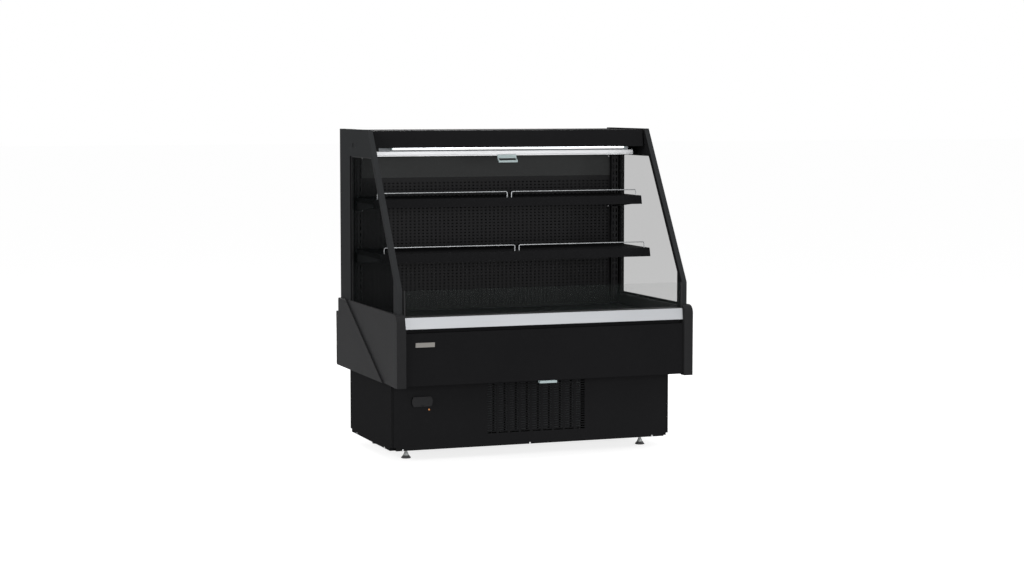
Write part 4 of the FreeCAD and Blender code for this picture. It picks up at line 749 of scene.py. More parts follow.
def joined(name, meshes):
    """One mesh out of several; each keeps its material."""
    whole = bmesh.new()
    materials = []
    for mesh in meshes:
        first_face = len(whole.faces)
        whole.from_mesh(mesh)
        whole.faces.ensure_lookup_table()
        for face in whole.faces[first_face:]:
            material = mesh.materials[face.material_index]
            if material not in materials:
                materials.append(material)
            face.material_index = materials.index(material)
    made = bpy.data.meshes.new(name)
    whole.to_mesh(made)
    whole.free()
    for material in materials:
        made.materials.append(material)
    return made


def finished(shape, name, material, smooth=30):
    """A mesh out of a bmesh, with one material, smooth but for its sharp edges."""
    mesh = mesh_from(shape, name)
    mesh.materials.append(FINISHES[material])
    smooth_between(mesh, smooth)
    return mesh


# ---------------------------------------------------------------- settings
def size_choice(label, what, millimetres):
    """A length, given in millimetres and kept in metres."""
    return bpy.props.FloatProperty(name=label, description=what, default=millimetres * MM, unit="LENGTH")


class FridgeSizes(bpy.types.PropertyGroup):
    hole_pitch_x: size_choice("Perforation pitch across", "From hole to hole along the back panel", 19.0)
    hole_pitch_z: size_choice("Perforation pitch up", "From hole to hole up the back panel", 13.5)
    hole_width: size_choice("Hole width", "Width of one air hole", 9.0)
    hole_height: size_choice("Hole height", "Height of one air hole", 5.0)
    plain_side: size_choice("Plain side", "Unperforated strip at each side", 34.0)
    plain_foot: size_choice("Plain foot", "Unperforated strip at the foot", 32.0)
    plain_head: size_choice("Plain head", "Unperforated strip at the head", 12.0)
    screw_radius: size_choice("Screw head radius", "Panel screws", 4.2)
    screw_height: size_choice("Screw head height", "Panel screws", 2.4)
    upright_width: size_choice("Upright width", "Slotted shelf upright", 31.0)
    back_screw_gap: size_choice("Back screw gap", "From an upright to the screws beside it", 6.0)
    back_screw_low: size_choice("Lower back screw", "Its height", 992.0)
    back_screw_high: size_choice("Upper back screw", "Its height", 1212.0)
    grille_centre: size_choice("Grille centre", "Middle of the slots across", 16.0)
    grille_columns: bpy.props.IntProperty(name="Slot columns", description="Across the grille", default=9)
    grille_rows: bpy.props.IntProperty(name="Slot rows", description="Up the grille", default=21)
    grille_bottom: size_choice("Grille foot", "Foot of the lowest slots", 96.0)
    slot_pitch_x: size_choice("Slot pitch across", "Front grille", 48.75)
    slot_pitch_z: size_choice("Slot pitch up", "Front grille", 10.0)
    slot_length: size_choice("Slot length", "Front grille", 40.0)
    slot_height: size_choice("Slot height", "Front grille", 5.0)
    tongue_reach: size_choice("Tongue reach", "Folded tongue behind a slot", 1.2)
    pad_height: size_choice("Foot pad height", "Levelling feet", 4.0)
    cone_height: size_choice("Foot cone height", "Levelling feet", 22.0)
    neck_radius: size_choice("Foot hexagon radius", "Levelling feet", 6.5)
    nut_height: size_choice("Foot hexagon height", "Levelling feet", 7.0)
    stud_radius: size_choice("Stud radius", "Levelling feet", 5.0)
    thread_pitch: size_choice("Thread pitch", "Levelling feet", 1.5)
    valley_angle: bpy.props.FloatProperty(
        name="Valley angle", description="Least fold that counts as the pressed facet's valley",
        default=0.2, subtype="ANGLE")
    valley_depth: size_choice("Valley depth", "Furthest the valley lies behind the bumper's face", 10.0)
    valley_width: size_choice("Valley width", "How far the valley's soft fold reaches", 7.0)
    bush_inset: size_choice("Bush inset", "Slot bush from the rear", 227.0)
    bush_drop: size_choice("Bush drop", "Slot bush from the top", 66.0)
    bush_width: size_choice("Bush width", "Slot bush", 9.0)
    bush_height: size_choice("Bush height", "Slot bush", 19.0)
    bush_depth: size_choice("Bush depth", "Slot bush", 8.0)
    bush_wall: size_choice("Bush wall", "Slot bush", 0.8)
    tab_width: size_choice("Tab width", "Finger tab of the controller's cover", 9.0)
    tab_height: size_choice("Tab height", "Finger tab", 3.6)
    tab_foot: size_choice("Tab foot", "Tab above the cover's lower edge", 2.0)
    tab_proud: size_choice("Tab depth", "Finger tab", 1.4)
    coil_foot: size_choice("Coil foot", "Fins above the coil's feet", 20.0)
    fin_pitch: size_choice("Fin pitch", "Coil fins", 4.0)
    fin_thickness: size_choice("Fin thickness", "Coil fins", 0.4)
    tube_radius: size_choice("Tube radius", "Coil tubes", 5.0)
    bend_reach: size_choice("Bend reach", "Return bends past the fins", 26.0)
    end_plate: size_choice("End plate", "Coil end plates", 1.5)
    hub_radius: size_choice("Hub radius", "Fans", 26.0)
    hub_depth: size_choice("Hub depth", "Fans", 20.0)
    blade_depth: size_choice("Blade depth", "Fans", 20.0)
    blade_count: bpy.props.IntProperty(name="Blades", description="Blades of a fan", default=5)
    shaft_radius: size_choice("Shaft radius", "Fans", 3.0)
    roll_end_gap: size_choice("Roll end gap", "Curtain cloth to the end frame", 46.0)
    curtain_turns: bpy.props.FloatProperty(
        name="Curtain turns", description="Turns of cloth on the roller", default=5.5)
    cloth_step: size_choice("Cloth step", "From one turn of cloth to the next", 1.1)
    axle_radius: size_choice("Axle radius", "Curtain roller's pins", 5.0)


def colour_choice(label, what, red, green, blue):
    """A picked colour, given in the steps of an ordinary 0 to 255 picture."""
    return bpy.props.FloatVectorProperty(
        name=label, description=what, size=3, min=0.0, max=1.0, subtype="COLOR_GAMMA",
        default=(red / 255, green / 255, blue / 255))


class FridgeColours(bpy.types.PropertyGroup):
    sheet: colour_choice("Black sheet", "Outer panels", 26, 26, 27)
    inner: colour_choice("Inner sheet", "Liner, back panels and deck", 38, 38, 39)
    frame: colour_choice("End frames", "Painted end frames", 45, 46, 47)
    bumper: colour_choice("Bumpers", "Moulded end bumpers", 37, 37, 38)
    rail: colour_choice("Nose rail", "Anodised rail", 156, 158, 161)
    # The black sheet painted lighter, to cancel the shade under the upper panel
    low_sheet: colour_choice("Lower panel", "Lower front panel", 30, 30, 31)
    # The rail's aluminium painted lighter, as painted light from the strip lamp
    bar: colour_choice("Curtain bar", "Satin aluminium bar", 196, 197, 199)
    # The inner sheet painted lighter, as painted light from the strip lamp
    plain_back: colour_choice("Plain back panel", "Upper back panel", 60, 61, 61)
    plate: colour_choice("Blank plate", "Bare plate on the front", 107, 104, 100)
    handle: colour_choice("Handle", "Curtain handle and catch", 168, 182, 183)
    lamp_strength: bpy.props.FloatProperty(
        name="Lamp strength", description="Light given by the strip", default=1.6, min=0.0)


# ---------------------------------------------------------------- the stage
def area_light(name, place, target, size, watts):
    """A soft white rectangular light, turned to a point."""
    light = bpy.data.lights.new(name, "AREA")
    light.shape = "RECTANGLE"
    light.size, light.size_y = size
    light.energy = watts
    lamp = bpy.data.objects.new(name, light)
    lamp.location = place
    aim = Vector(target) - Vector(place)
    lamp.rotation_euler = aim.to_track_quat("-Z", "Y").to_euler()
    bpy.context.scene.collection.objects.link(lamp)


def seen_by_eye(board):
    """1 for camera, glossy and transmission rays, 0 for the rest."""
    path = board.node("ShaderNodeLightPath")
    rays = [Sum(board, path.outputs[name]) for name in
            ("Is Camera Ray", "Is Glossy Ray", "Is Transmission Ray")]
    return rays[0] + rays[1] + rays[2]


class FRIDGE_OT_stage(bpy.types.Operator):
    """Make the floor, the white surroundings, the soft lights and the camera"""
    bl_idname = "fridge.stage"
    bl_label = "Stage"

    def execute(self, context):
        scene = context.scene
        scene.view_settings.view_transform = "Standard"

        world = bpy.data.worlds.new("studio")
        world.use_nodes = True
        scene.world = world
        board = Board(world.node_tree)
        world.node_tree.nodes.clear()
        seen = seen_by_eye(board)
        share = board.node("ShaderNodeMath", {"operation": "MINIMUM"}, {0: seen, 1: 1.0}).outputs[0]
        strength = WORLD_LIGHT + Sum(board, share) * (1 - WORLD_LIGHT)
        light = board.node("ShaderNodeBackground", None,
                           {"Color": (1.0, 1.0, 1.0, 1.0), "Strength": strength})
        board.node("ShaderNodeOutputWorld", None, {"Surface": light.outputs[0]})

        half = FLOOR_HALF
        mesh = bpy.data.meshes.new("floor")
        corners = [(-half, -half, 0), (half, -half, 0), (half, half, 0), (-half, half, 0)]
        mesh.from_pydata(corners, [], [(0, 1, 2, 3)])
        floor = bpy.data.objects.new("floor", mesh)
        scene.collection.objects.link(floor)
        floor.location.z = -FLOOR_DROP
        paper = Finish("floor_paper")
        grain = paper.noise(260.0, 2.0)
        low_grey, high_grey = [(grey, grey, grey, 1.0) for grey in FLOOR_GREYS]
        white = paper.node("ShaderNodeBsdfDiffuse", None, {"Color": paper.mix(grain, low_grey, high_grey)})
        strength = paper.node("ShaderNodeMath", {"operation": "MINIMUM"},
                              {0: seen_by_eye(paper) * FLOOR_GLOW, 1: FLOOR_GLOW}).outputs[0]
        glow = paper.node("ShaderNodeEmission", None,
                          {"Color": (1.0, 1.0, 1.0, 1.0), "Strength": strength})
        both = paper.node("ShaderNodeAddShader", None, {0: white.outputs[0], 1: glow.outputs[0]})
        paper.feed(paper.end.inputs["Surface"], both.outputs[0])
        mesh.materials.append(paper.material)

        for name, place, target, size, watts in LAMPS:
            area_light(name, place, target, size, watts)

        camera = bpy.data.objects.new("camera", bpy.data.cameras.new("camera"))
        camera.location = CAMERA_PLACE
        camera.rotation_euler = (math.radians(90 - CAMERA_PITCH), 0, math.radians(-CAMERA_YAW))
        camera.data.lens = CAMERA_LENS
        camera.data.sensor_width = SENSOR_WIDTH
        camera.data.clip_end = 200.0
        scene.collection.objects.link(camera)
        scene.camera = camera
        return {"FINISHED"}


class FRIDGE_OT_finishes(bpy.types.Operator):
    """Make every finish and put it on the CAD nodes"""
    bl_idname = "fridge.finishes"
    bl_label = "Finishes"

    def execute(self, context):
        FINISHES.update(make_finishes(context.scene.fridge_colours))
        for name, node in NODES.items():
            node.material_slots[0].material = FINISHES[SPECIAL_FINISH.get(name, SLOT_OF[name])]
        return {"FINISHED"}


class FRIDGE_OT_panels(bpy.types.Operator):
    """Give the sheet, frame and glass nodes soft edges"""
    bl_idname = "fridge.panels"
    bl_label = "Panels, frames and glass"

    def execute(self, context):
        made = {node: softened(node, width) for node, width in SOFTENED.items()}
        for node in SMOOTHED:
            smoothed(node)
        for node in ("left_end_frame", "right_end_frame"):
            low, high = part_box(node)
            middle = (low + high) / 2
            repaint(made[node], "black_sheet", lambda centre, normal: (
                normal.x * middle.x < -abs(middle.x) / 2
                or abs(normal.x) < 0.5
                and normal.y * (middle.y - centre.y) + normal.z * (middle.z - centre.z) > 0))
        repaint(made["nose_rail"], "black_rubber", lambda centre, normal: (
            normal.z > 0.7 and centre.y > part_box("nose_rail")[0].y + 2 * SHEET + 7 * MM))
        # A second copy of the foam, over the first, carries the black facing
        repaint(softened("cabinet_foam", 0.3), "black_sheet", lambda centre, normal: (
            abs(normal.x) > 0.9 or normal.y > 0.9))
        return {"FINISHED"}


class FRIDGE_OT_bumpers(bpy.types.Operator):
    """Make the moulded end bumpers, with a soft valley along the pressed facet"""
    bl_idname = "fridge.bumpers"
    bl_label = "End bumpers"

    def execute(self, context):
        sizes = context.scene.fridge_sizes
        for node in ("left_bumper", "right_bumper"):
            low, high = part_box(node)
            outer = low.x if low.x < 0 and high.x < 0 else high.x
            shape = merged_copy(node)
            valley = [edge for edge in shape.edges
                      if len(edge.link_faces) == 2 and not edge.is_convex
                      and edge.calc_face_angle() > sizes.valley_angle
                      and abs((edge.verts[0].co.x + edge.verts[1].co.x) / 2 - outer) < sizes.valley_depth
                      and edge.calc_length() > sizes.valley_width]
            bmesh.ops.bevel(shape, geom=valley, offset=sizes.valley_width, segments=6, profile=0.5,
                            affect="EDGES", clamp_overlap=True)
            softened(node, 0.9, shape, 30)
        return {"FINISHED"}


class FRIDGE_OT_bushes(bpy.types.Operator):
    """Line the slot in each end frame with a light plastic bush"""
    bl_idname = "fridge.bushes"
    bl_label = "Slot bushes"

    def execute(self, context):
        sizes = context.scene.fridge_sizes
        wall = sizes.bush_wall
        for way, node in ((-1, "left_end_frame"), (1, "right_end_frame")):
            low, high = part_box(node)
            outer = low.x if way < 0 else high.x
            middle_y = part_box("rear_outer_panel")[1].y - sizes.bush_inset
            middle_z = high.z - sizes.bush_drop
            bush = bmesh.new()
            across, up = sizes.bush_width / 2, sizes.bush_height / 2
            depth = (outer, outer - way * sizes.bush_depth)
            span = (min(depth), max(depth))
            rear, front = middle_y + across, middle_y - across
            add_box(bush, span, (rear - wall, rear), (middle_z - up, middle_z + up))
            add_box(bush, span, (front, rear - wall), (middle_z + up - wall, middle_z + up))
            add_box(bush, span, (front, rear - wall), (middle_z - up, middle_z - up + wall))
            mesh = finished(bush, "bush", "handle_plastic")
            new_piece("slot_bush_" + ("left" if way < 0 else "right"), mesh, "cabinet", "handle_plastic")
        return {"FINISHED"}


class FRIDGE_OT_controls(bpy.types.Operator):
    """Indicator lens with its bezel, and the finger tab of the controller's cover"""
    bl_idname = "fridge.controls"
    bl_label = "Controls"

    def execute(self, context):
        sizes = context.scene.fridge_sizes
        low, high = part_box("indicator_lamp")
        radius = (high.x - low.x) / 2
        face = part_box("lower_front_panel")[0].y
        proud = face - low.y
        place = Matrix.Translation(((low.x + high.x) / 2, face, (low.z + high.z) / 2))
        turn = place @ Matrix.Rotation(math.radians(90), 4, "X")
        lens = bmesh.new()
        dome = radius * 0.78
        profile = [(0, -(high.y - face)), (radius * 0.6, -(high.y - face)), (radius * 0.6, 0), (dome, 0)]
        turns = [math.radians(step) for step in range(0, 90, 15)]
        profile += [(dome * math.cos(angle), proud * (0.3 + 0.7 * math.sin(angle))) for angle in turns]
        add_turned(lens, profile + [(0, proud)], 32, turn)
        bezel = bmesh.new()
        add_turned(bezel, [(dome, 0), (radius, 0), (radius, proud * 0.25), (radius - 0.4 * MM, proud * 0.4),
                           (dome + 0.1 * MM, proud * 0.4), (dome, proud * 0.2), (dome, 0)], 32, turn)
        mesh = joined("indicator", [finished(lens, "lens", "indicator_orange"),
                                    finished(bezel, "bezel", "control_plastic")])
        new_piece("indicator", mesh, "cabinet", "indicator_orange", "indicator_lamp")

        low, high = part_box("controller_cover")
        middle = (low.x + high.x) / 2
        tab = bmesh.new()
        half = sizes.tab_width / 2
        add_box(tab, (middle - half, middle + half), (low.y, low.y + sizes.tab_proud),
                (low.z + sizes.tab_foot, low.z + sizes.tab_foot + sizes.tab_height))
        bmesh.ops.bevel(tab, geom=list(tab.edges), offset=0.4 * MM, segments=2, affect="EDGES")
        new_piece("cover_tab", finished(tab, "tab", "cover_tab"), "controller_cover", "control_plastic")
        return {"FINISHED"}


class FRIDGE_OT_coils(bpy.types.Operator):
    """Finned coils: thin fins, tube rows and their return bends"""
    bl_idname = "fridge.coils"
    bl_label = "Finned coils"

    def execute(self, context):
        sizes = context.scene.fridge_sizes
        for node, columns, rows in (("evaporator_coil", 4, 3), ("condenser_coil", 2, 6)):
            low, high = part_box(node)
            foot = low.z + sizes.coil_foot
            bend = sizes.bend_reach
            finish = SPECIAL_FINISH.get(node, SLOT_OF[node])
            # The condenser wears its black on tubes and end plates too, partly as painted shade behind the
            # grille
            tube_finish, plate_finish = (("copper", "motor_metal") if node not in SPECIAL_FINISH
                                         else (finish, finish))
            left, right = low.x + bend, high.x - bend
            count = int((right - left) / sizes.fin_pitch)
            fin = bmesh.new()
            add_box(fin, (left, left + sizes.fin_thickness), (low.y, high.y), (foot, high.z))
            fins = in_grid(fin, count, 1, (sizes.fin_pitch, 0, 0), (0, 0, 0), FINISHES[finish])
            tube = bmesh.new()
            step_y = (high.y - low.y) / columns
            step_z = (high.z - foot) / rows
            first = (low.y + step_y / 2, foot + step_z / 2)
            add_wire(tube, [(left - bend * 0.4, *first), (right + bend * 0.4, *first)], sizes.tube_radius)
            tubes = in_grid(tube, rows, columns, (0, 0, step_z), (0, step_y, 0), FINISHES[tube_finish])
            smooth_between(tubes, 40)
            meshes = [fins, tubes]
            for way, start in ((1, right + bend * 0.4), (-1, left - bend * 0.4)):
                loop = bmesh.new()
                reach = bend * 0.6 - sizes.tube_radius
                arc = [(start + way * reach * math.sin(math.radians(turn)), first[0],
                        first[1] + step_z / 2 - step_z / 2 * math.cos(math.radians(turn)))
                       for turn in range(0, 181, 20)]
                add_wire(loop, arc, sizes.tube_radius)
                bends = in_grid(loop, rows // 2, columns, (0, 0, 2 * step_z), (0, step_y, 0),
                                FINISHES[tube_finish])
                bends.shade_smooth()
                meshes.append(bends)
            ends = bmesh.new()
            for x in (left - sizes.end_plate, right):
                add_box(ends, (x, x + sizes.end_plate), (low.y, high.y), (low.z, high.z))
            meshes.append(finished(ends, "end plates", plate_finish))
            new_piece("finned_" + node, joined("finned_" + node, meshes), "cabinet", SLOT_OF[node], node)
        return {"FINISHED"}


class FRIDGE_OT_fans(bpy.types.Operator):
    """Axial fans: hub and cambered, twisted blades"""
    bl_idname = "fridge.fans"
    bl_label = "Fans"

    def execute(self, context):
        sizes = context.scene.fridge_sizes
        for node in ("condenser_fan", "evaporator_fan_1", "evaporator_fan_2"):
            low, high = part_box(node)
            hub_depth = sizes.hub_depth
            radius = (high.x - low.x) / 2 * 0.985
            axis_x, axis_z = (low.x + high.x) / 2, (low.z + high.z) / 2
            rim = sizes.hub_radius
            heights = [vertex.co.y for vertex in NODES[node].data.vertices
                       if math.hypot(vertex.co.x - axis_x, vertex.co.z - axis_z) > 1.5 * rim]
            hub_y = (min(heights) + max(heights)) / 2
            shaft_y = high.y if high.y - hub_y > hub_y - low.y else low.y
            turn = Matrix.Translation((axis_x, hub_y, axis_z)) @ Matrix.Rotation(math.radians(90), 4, "X")
            hub = bmesh.new()
            add_turned(hub, [(0, -hub_depth / 2), (rim * 0.9, -hub_depth / 2), (rim, -hub_depth * 0.4),
                             (rim, hub_depth * 0.3), (rim * 0.92, hub_depth * 0.45),
                             (rim * 0.7, hub_depth / 2), (0, hub_depth / 2)], 40, turn)
            shaft = bmesh.new()
            far = hub_y - shaft_y
            near = math.copysign(hub_depth * 0.45, far)
            add_turned(shaft, [(0, far), (sizes.shaft_radius, far), (sizes.shaft_radius, near), (0, near)],
                       16, turn)
            blades = bmesh.new()
            count = sizes.blade_count
            for index in range(count):
                add_blade(blades, rim * 0.9, radius, sizes.blade_depth, 2 * math.pi * index / count, turn)
            mesh = joined("fan_" + node, [finished(hub, "hub", "fan_plastic"),
                                          finished(blades, "blades", "fan_plastic", 50),
                                          finished(shaft, "shaft", "motor_metal")])
            new_piece("bladed_" + node, mesh, node, SLOT_OF[node], node)
        return {"FINISHED"}


def add_blade(shape, inner, outer, depth, angle, turn):
    """One cambered blade round the Z axis, closed, with a skewed leading edge."""
    rings = []
    for ring in range(7):
        out = ring / 6
        radius = inner + (outer - inner) * out
        half_angle = 0.52 - 0.1 * out
        skew = 0.18 * out * out
        rise = depth * (0.46 - 0.16 * out)
        loops = []
        for side in (0.5, -0.5):
            row = []
            for step in range(9):
                along = step / 8 * 2 - 1
                camber = (1 - along * along) * depth * 0.1
                thick = 1.6 * MM * (1 - along * along * 0.75) * side
                heading = angle + skew + along * half_angle
                row.append(shape.verts.new((radius * math.cos(heading), radius * math.sin(heading),
                                            along * rise + camber + thick)))
            loops.append(row)
        rings.append(loops[0] + loops[1][::-1])
    for low, high in zip(rings, rings[1:]):
        for index in range(len(low)):
            after = (index + 1) % len(low)
            shape.faces.new((low[index], low[after], high[after], high[index]))
    shape.faces.new(rings[0][::-1])
    shape.faces.new(rings[-1])
    bmesh.ops.transform(shape, matrix=turn, verts=[vertex for ring in rings for vertex in ring])


class FRIDGE_OT_back_panel(bpy.types.Operator):
    """Make the perforated back panel, hole by hole"""
    bl_idname = "fridge.back_panel"
    bl_label = "Perforated back panel"

    def execute(self, context):
        sizes = context.scene.fridge_sizes
        low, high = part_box("perforated_back_panel")
        front, back = high.y - SHEET, high.y
        pitch_x, pitch_z = sizes.hole_pitch_x, sizes.hole_pitch_z
        columns = int((high.x - low.x - sizes.plain_side * 2) / pitch_x)
        rows = int((high.z - low.z - sizes.plain_foot - sizes.plain_head) / pitch_z)
        left = -columns * pitch_x / 2
        bottom = low.z + sizes.plain_foot
        cell = bmesh.new()
        outer = [(0, 0), (pitch_x, 0), (pitch_x, pitch_z), (0, pitch_z)]
        side = (pitch_x - sizes.hole_width) / 2
        foot = (pitch_z - sizes.hole_height) / 2
        inner = [(side, foot), (pitch_x - side, foot),
                 (pitch_x - side, pitch_z - foot), (side, pitch_z - foot)]
        rings = {}
        for y in (front, back):
            for label, corners in (("outer", outer), ("inner", inner)):
                rings[label, y] = [cell.verts.new((left + x, y, bottom + z)) for x, z in corners]
        for index in range(4):
            after = (index + 1) % 4
            for y in (front, back):
                cell.faces.new((rings["outer", y][index], rings["outer", y][after],
                                rings["inner", y][after], rings["inner", y][index]))
            cell.faces.new((rings["inner", front][index], rings["inner", front][after],
                            rings["inner", back][after], rings["inner", back][index]))
        mesh = in_grid(cell, columns, rows, (pitch_x, 0, 0), (0, 0, pitch_z), FINISHES["inner_sheet"])
        shape = bmesh.new()
        shape.from_mesh(mesh)
        rim = [edge for edge in shape.edges if edge.is_boundary]
        bmesh.ops.bridge_loops(shape, edges=rim)
        right = left + columns * pitch_x
        top = bottom + rows * pitch_z
        thick = (front, back)
        add_box(shape, (low.x, left), thick, (low.z, high.z))
        add_box(shape, (right, high.x), thick, (low.z, high.z))
        add_box(shape, (left, right), thick, (low.z, bottom))
        add_box(shape, (left, right), thick, (top, high.z))
        flange_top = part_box("deck_pan_1")[0].z
        add_box(shape, (low.x, high.x), (low.y, front), (low.z, flange_top))
        panel = finished(shape, "back_panel_perforated", "inner_sheet")
        new_piece("back_panel_perforated", panel, "cabinet", "inner_sheet", "perforated_back_panel")
        return {"FINISHED"}


def screw_shape(radius, height):
    """A domed head with a cross recess, its foot at the origin and Z out of it."""
    shape = bmesh.new()
    rings = [(1.0, 0.0), (1.0, 0.3), (0.9, 0.62), (0.7, 0.85), (0.45, 0.97), (0.22, 1.0), (0.0, 1.0)]
    made = add_turned(shape, [(radius * out, height * up) for out, up in rings], 24)
    for vertex in made:
        reach = math.hypot(vertex.co.x, vertex.co.y)
        on_cross = min(abs(vertex.co.x), abs(vertex.co.y)) < radius * 0.09
        if on_cross and reach < radius * 0.6 and vertex.co.z > height * 0.5:
            vertex.co.z -= height * 0.55
    return shape


class FRIDGE_OT_screws(bpy.types.Operator):
    """Put a cross-head screw in each notch and at the back panel's corners"""
    bl_idname = "fridge.screws"
    bl_label = "Screws"

    def execute(self, context):
        sizes = context.scene.fridge_sizes
        radius, height = sizes.screw_radius, sizes.screw_height
        base_low, base_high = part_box("panel_screws")
        base_middle = (base_low + base_high) / 2
        places = []
        for low, high in loose_boxes("panel_screws"):
            middle = (low + high) / 2
            axis = min(range(3), key=lambda index: high[index] - low[index])
            way = 1 if middle[axis] > base_middle[axis] else -1
            facing = Vector((0, 0, 0))
            facing[axis] = way
            middle[axis] -= way * (high[axis] - low[axis]) / 2
            places.append((middle, facing))
        mesh = at_places(screw_shape(radius, height), places, FINISHES["screw_steel"])
        smooth_between(mesh, 30)
        new_piece("base_screws", mesh, "cabinet", "screw_steel", "panel_screws")

        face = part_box("upper_back_panel")[1].y - SHEET
        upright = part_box("shelf_uprights")[1].x - sizes.upright_width
        spots = [((way * (upright - sizes.back_screw_gap), face, height_up), (0, -1, 0))
                 for way in (-1, 1) for height_up in (sizes.back_screw_low, sizes.back_screw_high)]
        small = at_places(screw_shape(radius * 0.7, height * 0.6), spots, FINISHES["screw_steel"])
        smooth_between(small, 30)
        new_piece("back_panel_screws", small, "cabinet", "screw_steel")
        return {"FINISHED"}


class FRIDGE_OT_grille(bpy.types.Operator):
    """Front grille: soft-edged panel with folded tongues behind its slots"""
    bl_idname = "fridge.grille"
    bl_label = "Front grille"

    def execute(self, context):
        sizes = context.scene.fridge_sizes
        piece = softened("lower_front_panel", 0.4)
        panel_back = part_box("lower_front_panel")[1].y
        first = sizes.grille_centre - (sizes.grille_columns - 1) / 2 * sizes.slot_pitch_x
        left = first - sizes.slot_length / 2
        foot, head = sizes.slot_height * 0.2, sizes.slot_height * 0.8
        plate = 0.6 * MM
        meshes = [piece.data]
        for start, stop, columns in ((0.0, 0.55, sizes.grille_columns),
                                     (0.77, 1.0, sizes.grille_columns - 1)):
            tongue = bmesh.new()
            bottom = sizes.grille_bottom + sizes.slot_pitch_z
            outline = [(panel_back, bottom + foot), (panel_back + plate, bottom + foot),
                       (panel_back + sizes.tongue_reach + plate, bottom + head),
                       (panel_back + sizes.tongue_reach, bottom + head)]
            add_prism(tongue, outline, (left + start * sizes.slot_length, left + stop * sizes.slot_length))
            # The tongues are folds of the black sheet; the lighter frame grey on them is painted light for
            # their lit, upward faces
            meshes.append(in_grid(tongue, columns, sizes.grille_rows - 1, (sizes.slot_pitch_x, 0, 0),
                                  (0, 0, sizes.slot_pitch_z), FINISHES["frame_grey"]))
        piece.data = joined("front_grille", meshes)
        piece.name = "front_grille"
        return {"FINISHED"}


class FRIDGE_OT_lamp(bpy.types.Operator):
    """Light strip: aluminium channel, ribbed diffuser and two end caps"""
    bl_idname = "fridge.lamp"
    bl_label = "Light strip"

    def execute(self, context):
        low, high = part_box("lamp")
        wall = 1.0 * MM
        cap = 7.0 * MM
        channel = bmesh.new()
        add_prism(channel, [
            (low.y, high.z), (low.y, high.z - 4 * MM), (low.y + wall, high.z - 4 * MM),
            (low.y + wall, high.z - wall), (high.y - wall, high.z - wall),
            (high.y - wall, high.z - 4 * MM), (high.y, high.z - 4 * MM), (high.y, high.z),
        ], (low.x + cap, high.x - cap))
        lens = bmesh.new()
        middle = (low.y + high.y) / 2
        half = (high.y - low.y) / 2 - wall * 1.1
        deep = high.z - low.z - 2 * wall
        arc = [(middle + half * math.cos(math.radians(turn)),
                high.z - 2 * wall - deep * math.sin(math.radians(turn))) for turn in range(0, 181, 15)]
        add_prism(lens, arc, (low.x + cap, high.x - cap))
        meshes = [finished(channel, "channel", "lamp_housing"), finished(lens, "lens", "lamp_diffuser")]
        for inner, outer in ((low.x + cap, low.x), (high.x - cap, high.x)):
            end = bmesh.new()
            add_box(end, (min(inner, outer), max(inner, outer)), (low.y, high.y), (low.z, high.z))
            bmesh.ops.bevel(end, geom=list(end.edges), offset=1.2 * MM, segments=3, affect="EDGES")
            meshes.append(finished(end, "cap", "handle_plastic"))
        new_piece("light_strip", joined("light_strip", meshes), "cabinet", "lamp_diffuser", "lamp")
        return {"FINISHED"}


class FRIDGE_OT_feet(bpy.types.Operator):
    """Levelling feet: pad, cone, hexagon and a threaded stud"""
    bl_idname = "fridge.feet"
    bl_label = "Levelling feet"

    def execute(self, context):
        sizes = context.scene.fridge_sizes
        for index in range(1, 5):
            node = "levelling_foot_" + str(index)
            low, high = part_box(node)
            x, y = (low.x + high.x) / 2, (low.y + high.y) / 2
            pad_radius = (high.x - low.x) / 2
            place = Matrix.Translation((x, y, 0))
            pad = bmesh.new()
            height = sizes.pad_height
            neck = sizes.neck_radius
            top = height + sizes.cone_height
            flare = height + sizes.cone_height * 0.36
            waist = neck + (pad_radius - neck) * 0.42
            add_turned(pad, [(0, 0), (pad_radius - 1.2 * MM, 0), (pad_radius - 0.3 * MM, 0.5 * MM),
                             (pad_radius, 1.4 * MM), (pad_radius, height - 1.2 * MM),
                             (pad_radius - 0.8 * MM, height), (waist + 0.3 * MM, flare),
                             (0, flare)], 48, place)
            cone = bmesh.new()
            add_turned(cone, [(0, flare), (waist, flare), (waist, flare + 0.6 * MM), (neck, top), (0, top)],
                       40, place)
            nut = bmesh.new()
            nut_top = top + sizes.nut_height
            add_turned(nut, [(0, top), (neck * 0.9, top), (neck * 0.99, top + 1 * MM),
                             (neck * 0.99, nut_top - 1 * MM), (neck * 0.9, nut_top),
                             (0, nut_top)], 6, place)
            stud = bmesh.new()
            thread = [(0, nut_top)]
            height_up = nut_top
            while height_up + sizes.thread_pitch < high.z - 1 * MM:
                thread.append((sizes.stud_radius * 0.86, height_up + 0.1 * sizes.thread_pitch))
                thread.append((sizes.stud_radius, height_up + 0.5 * sizes.thread_pitch))
                height_up += sizes.thread_pitch
            thread += [(sizes.stud_radius * 0.86, height_up), (sizes.stud_radius * 0.7, high.z),
                       (0, high.z)]
            add_turned(stud, thread, 20, place)
            foot = joined("foot_" + str(index), [
                finished(pad, "pad", "foot_pad_rubber"), finished(cone, "cone", "foot_zinc"),
                finished(nut, "nut", "foot_zinc"), finished(stud, "stud", "foot_zinc")])
            new_piece("foot_" + str(index), foot, node, "foot_zinc", node)
        return {"FINISHED"}


